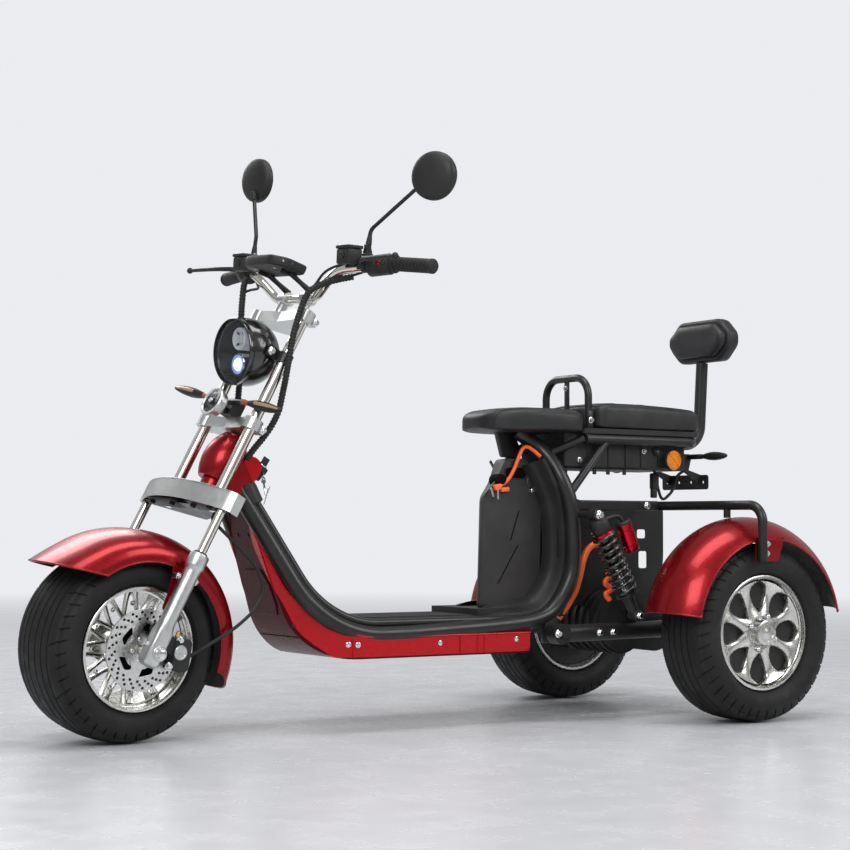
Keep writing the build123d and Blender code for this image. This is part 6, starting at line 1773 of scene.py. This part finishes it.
def makeShocks(d):
    bm = bmesh.new()
    for hand in (1, -1):
        top, foot = (Vector((s, hand * d["side"], z)) for s, z in (d["top"], d["foot"]))
        down = (foot - top).normalized()
        length = (foot - top).length
        for place in (top, foot):
            addLathe(bm, [(-16, 6), (-16, 13), (-14, 15), (14, 15), (16, 13), (16, 6)], place, yDir, 28, 0,
                     closed=True)
            addBolt(bm, place + yDir * hand * 16, yDir * hand, 15, 9, 2)
            addLathe(bm, [(-24, 6), (16, 6), (16, 0)], place, yDir * hand, 16, 2)
        head = [(8, 13), (14, 22), (20, 25), (44, 25), (47, 23), (49, 23), (49, 16)]
        addLathe(bm, head, top, down, 40)
        addLathe(bm, [(49, 16), (49, 28), (51, 29), (56, 29), (58, 28), (58, 16)], top, down, 40, 1,
                 closed=True)
        addLathe(bm, [(56, 15), (56, 15.5), (150, 15.5), (152, 14), (152, 6)], top, down, 32, 3)
        addLathe(bm, [(150, 7), (length - 62, 7)], top, down, 24, 2)
        seat = length - d["springSeat"]
        addLathe(bm, [(seat, 12), (seat, 29), (seat + 6, 29), (seat + 8, 26), (seat + 10, 16),
                      (length - 12, 14), (length - 10, 10)], top, down, 36)
        low, high = (Vector((s, hand * d["side"], z)) for s, z in d["can"])
        up = (high - low).normalized()
        r, tall = d["canRadius"], (high - low).length
        rings = [(0, r - 6), (2, r - 1), (4, r), (16, r), (17, r - 1.6), (20, r - 1.6), (21, r),
                 (tall - 26, r), (tall - 25, r - 1.6), (tall - 22, r - 1.6), (tall - 21, r), (tall - 9, r)]
        addLathe(bm, rings, low, up, 40, 1)
        addLathe(bm, [(tall - 9, r - 2), (tall - 9, r + 1.4), (tall - 3, r + 1.4), (tall, r - 2),
                      (tall, r - 8), (tall - 2, r - 9), (tall - 2, 0)], low, up, 40)
        neck = [low + up * (tall - 4), low + up * (tall + 8) + Vector((14, 0, 4)),
                top + down * 30 + Vector((-14, 0, 14)), top + down * 28]
        addTube(bm, smoothRun(neck, 4), 5.5, 14)
    toPiece(bm, "shockUnits", [castBlack, redAnodised, boltSteel, glossBlack], "frame", "shock_bodies",
            angle=34)


makeShocks(shock)

springPlate = {"outline": ((330, 545), (330, 300), (262, 280), (-40, 280), (-60, 400), (-60, 545)),
               "thick": 5, "corner": 18,
               "slots": ((17, 470, 31, 24), (12, 400, 30, 46)), "slotCorner": 7,  # ahead, up, wide, high
               "armBolts": (446, 313, 270), "armSide": 194, "armUp": 221,
               "railBolts": (90, -30), "railSide": 113, "railUp": 545}


def makeSpringPlate(d):
    bm = bmesh.new()
    holes = []
    for s, z, w, h in d["slots"]:
        x, y = w / 2, h / 2
        holes.append(softCorners([(-s - x, z - y), (-s + x, z - y), (-s + x, z + y), (-s - x, z + y)],
                                 d["slotCorner"]))
    outline = softCorners([(-s, z) for s, z in d["outline"]], d["corner"])
    addPlate(bm, outline, d["thick"], planeMatrix((0, 0, 0), yDir), holes)
    for hand in (1, -1):
        for s in d["armBolts"]:
            addBolt(bm, (s, hand * d["armSide"], d["armUp"]), yDir * hand, 13, 8, 1)
        for s in d["railBolts"]:
            addBolt(bm, (s, hand * d["railSide"], d["railUp"]), yDir * hand, 13, 7, 1)
    toPiece(bm, "springPlate", [frameBlack, boltSteel], "frame", None, angle=34)


makeSpringPlate(springPlate)
print("rear springs made")

# frame: side tubes up into the saddle, cross bars, seat rails, saddle stay

loopTube = {
    "front": ((1272.9, 45, 570.8), (1084, 138, 229), (860, 138, 230)), "bend": 247, "radius": 20,
    "loop": ((760, 138, 234), (620, 138, 240), (508, 136, 248), (455, 133, 258), (424, 131, 271),
        (401, 130, 290), (379, 130, 319), (360, 130, 354), (351, 130, 390), (349, 130, 444),
        (351, 130, 491), (357, 130, 534), (363, 126, 570), (374, 116, 607), (383, 98, 641), (393, 76, 671),
        (410, 56, 697), (436, 42, 719), (458, 34, 735)),
    "rim": ((1251, 45, 582.9), (1070.8, 128, 257), (440, 128, 257)), "rimBend": 222, "rimRadius": 10,
    "strut": ((346, 124, 585), (300, 122, 636)), "strutRadius": 10.6}


def onSide(points, hand):
    return [(s, hand * y, z) for s, y, z in points]


def makeLoopTubes(d):
    for hand, label in ((1, "left"), (-1, "right")):
        bm = bmesh.new()
        front = roundPath(onSide(d["front"], hand), [d["bend"]], 3)
        loop = smoothRun([front[-1]] + onSide(d["loop"], hand), 8)
        addTube(bm, front[:-1] + loop, d["radius"], 36)
        addTube(bm, roundPath(onSide(d["rim"], hand), [d["rimBend"]], 3), d["rimRadius"], 20)
        addTube(bm, onSide(d["strut"], hand), d["strutRadius"], 24)
        toPiece(bm, f"{label}LoopTube", frameBlack, "frame", f"{label}_frame_tube", angle=50)


makeLoopTubes(loopTube)

crossBar = {
    "places": ((950, 244), (700, 244), (470, 244), (334, 545)), "radius": 15, "half": 126,
    "pivot": (430, 219), "pivotEnd": 202, "pivotRadius": 10, "lug": (44, 20, 62), "lugSide": 138,
    "lugLift": 7, "pin": (336, 519), "pinEnd": 223, "pinRadius": 8}


def makeCrossBars(d):
    bm = bmesh.new()
    half = d["half"]
    for s, z in d["places"]:
        addTube(bm, [(s, -half, z), (s, half, z)], d["radius"], 28)
    for hand in (1, -1):
        s, z = d["pivot"]
        addBox(bm, d["lug"], moveTo((s, hand * d["lugSide"], z + d["lugLift"])), 3)
        addTube(bm, [(s, hand * d["lugSide"], z), (s, hand * d["pivotEnd"], z)], d["pivotRadius"], 24)
        s, z = d["pin"]
        addTube(bm, [(s, hand * half, z), (s, hand * d["pinEnd"], z)], d["pinRadius"], 20)
    toPiece(bm, "crossBars", frameBlack, "frame", "cross_members", angle=40)


makeCrossBars(crossBar)

seatRail = {
    "front": 302, "rear": -84, "up": 717, "half": 118, "bend": 44, "radius": 14,
    "stub": ((386, 86, 680), (306, 118, 717)), "stay": ((232, 118, 711), (352, 128, 580)), "stayRadius": 10}


def makeSeatRails(d):
    bm = bmesh.new()
    front, rear, half, up = d["front"], d["rear"], d["half"], d["up"]
    hoop = roundPath([(front, half, up), (rear, half, up), (rear, -half, up), (front, -half, up)],
                     [d["bend"]] * 2, 4)
    addTube(bm, hoop, d["radius"], 28)
    for hand in (1, -1):
        for run in (d["stub"], d["stay"]):
            addTube(bm, onSide(run, hand), d["stayRadius"], 22)
    toPiece(bm, "seatRails", frameBlack, "frame", "seat_frame", angle=40)


makeSeatRails(seatRail)

saddleStay = {"outline": ((505, 740), (484, 668), (439, 668), (446, 740)), "corner": 6, "thick": 16}


def makeSaddleStay(d):
    bm = bmesh.new()
    outline = softCorners([(-s, z) for s, z in d["outline"]], d["corner"])
    addPlate(bm, outline, d["thick"], planeMatrix((0, 0, 0), yDir), (), 2)
    toPiece(bm, "saddleStay", frameBlack, "frame", "saddle_bracket", angle=34)


makeSaddleStay(saddleStay)

# fittings: battery lead, ribbed floor mat, plug under the tail, caliper cap and bolts

batteryLead = {
    "run": ((548, 62, 590), (530, 62, 594), (508, 62, 607), (489, 62, 633), (474, 62, 664), (461, 62, 688),
        (448, 64, 694), (434, 74, 684), (424, 90, 668)),
    "radius": 5}


def makeBatteryLead(d):
    bm = bmesh.new()
    addTube(bm, smoothRun(d["run"], 4), d["radius"], 16)
    toPiece(bm, "batteryLead", cableOrange, "frame", "battery_lead", angle=40)


makeBatteryLead(batteryLead)

floorMat = {"rear": 640, "front": 1004, "up": 268.2, "ribs": 15, "pitch": 12, "ribShare": 0.6, "ribHigh": 3}


def makeFloorMat(d):
    bm = bmesh.new()
    size = (d["front"] - d["rear"], d["pitch"] * d["ribShare"], d["ribHigh"])
    for k in range(d["ribs"]):
        y = (k - (d["ribs"] - 1) / 2) * d["pitch"]
        addBox(bm, size, moveTo(((d["front"] + d["rear"]) / 2, y, d["up"])), 1, 1, 0)
    toPiece(bm, "floorMat", rubberBlack, "frame", None, angle=34)


makeFloorMat(floorMat)

tailPlug = {
    "place": (20, 60, 612), "size": (24, 15, 44), "nose": (22, 60, 580), "noseSize": (17, 12, 26),
    "cableRadius": 4,
    "cable": ((20, 60, 640), (-4, 60, 568), (-33, 60, 577), (-51, 60, 600), (-61, 60, 627), (-88, 60, 644))}


def makeTailPlug(d):
    bm = bmesh.new()
    addTube(bm, smoothRun(d["cable"], 5), d["cableRadius"], 12)
    addBox(bm, d["size"], moveTo(d["place"]), 4)
    addBox(bm, d["noseSize"], moveTo(d["nose"]), 3)
    toPiece(bm, "tailPlug", plasticBlack, "frame", None, angle=34)


makeTailPlug(tailPlug)

caliperFit = {
    "cap": (1472, 136.3, 212), "capRadius": 17, "bolts": ((1473, 133.6, 240), (1500, 133.6, 182)),
    "port": (1474, 128, 246), "portAxis": (0.2, 0.3, 0.93)}


def makeCaliperFittings(d):
    bm = bmesh.new()
    r = d["capRadius"]
    cap = [(-1, r), (3, r), (5, r - 2), (5, r - 5), (3.8, r - 6), (3.8, 5), (5, 4), (5, 0)]
    addLathe(bm, cap, d["cap"], yDir, 40)
    for place in d["bolts"]:
        addBolt(bm, place, yDir, 12, 8, 1)
    addLathe(bm, [(-2, 7), (6, 7), (7, 5.5), (14, 5), (15, 3.5)], d["port"], d["portAxis"], 6, 2)
    toPiece(bm, "caliperFittings", [castSilver, boltSteel, brass], "steering", None, angle=34)


makeCaliperFittings(caliperFit)
print("frame and fittings made")

# solids that show as they are get the finish of their kind

nodeFinish = {
    frameBlack: ("rear_rails", "fender_hoop", "steering_stem", "lamp_bracket", "trailing_arms"),
    plasticBlack: ("footboard", "battery_bay", "tail_box", "plate_bracket"),
    glossBlack: ("shock_springs",),
    castBlack: ("brake_caliper", "axle_housing"),
    rubberBlack: ("brake_hose",),
    candyRed: ("neck_cover", "head_tube"),
    # the belly shell takes the red made darker, a painted shade
    paintedShadeRed: ("belly_fairing",),
    castSilver: ("fork_yokes",),
    warmChrome: ("handlebar", "front_axle", "fork_tubes"),
    redLens: ("tail_lamp",)}
for mat, names in nodeFinish.items():
    for name in names:
        nodes[name].data.materials.clear()
        nodes[name].data.materials.append(mat)
print("finishes set")
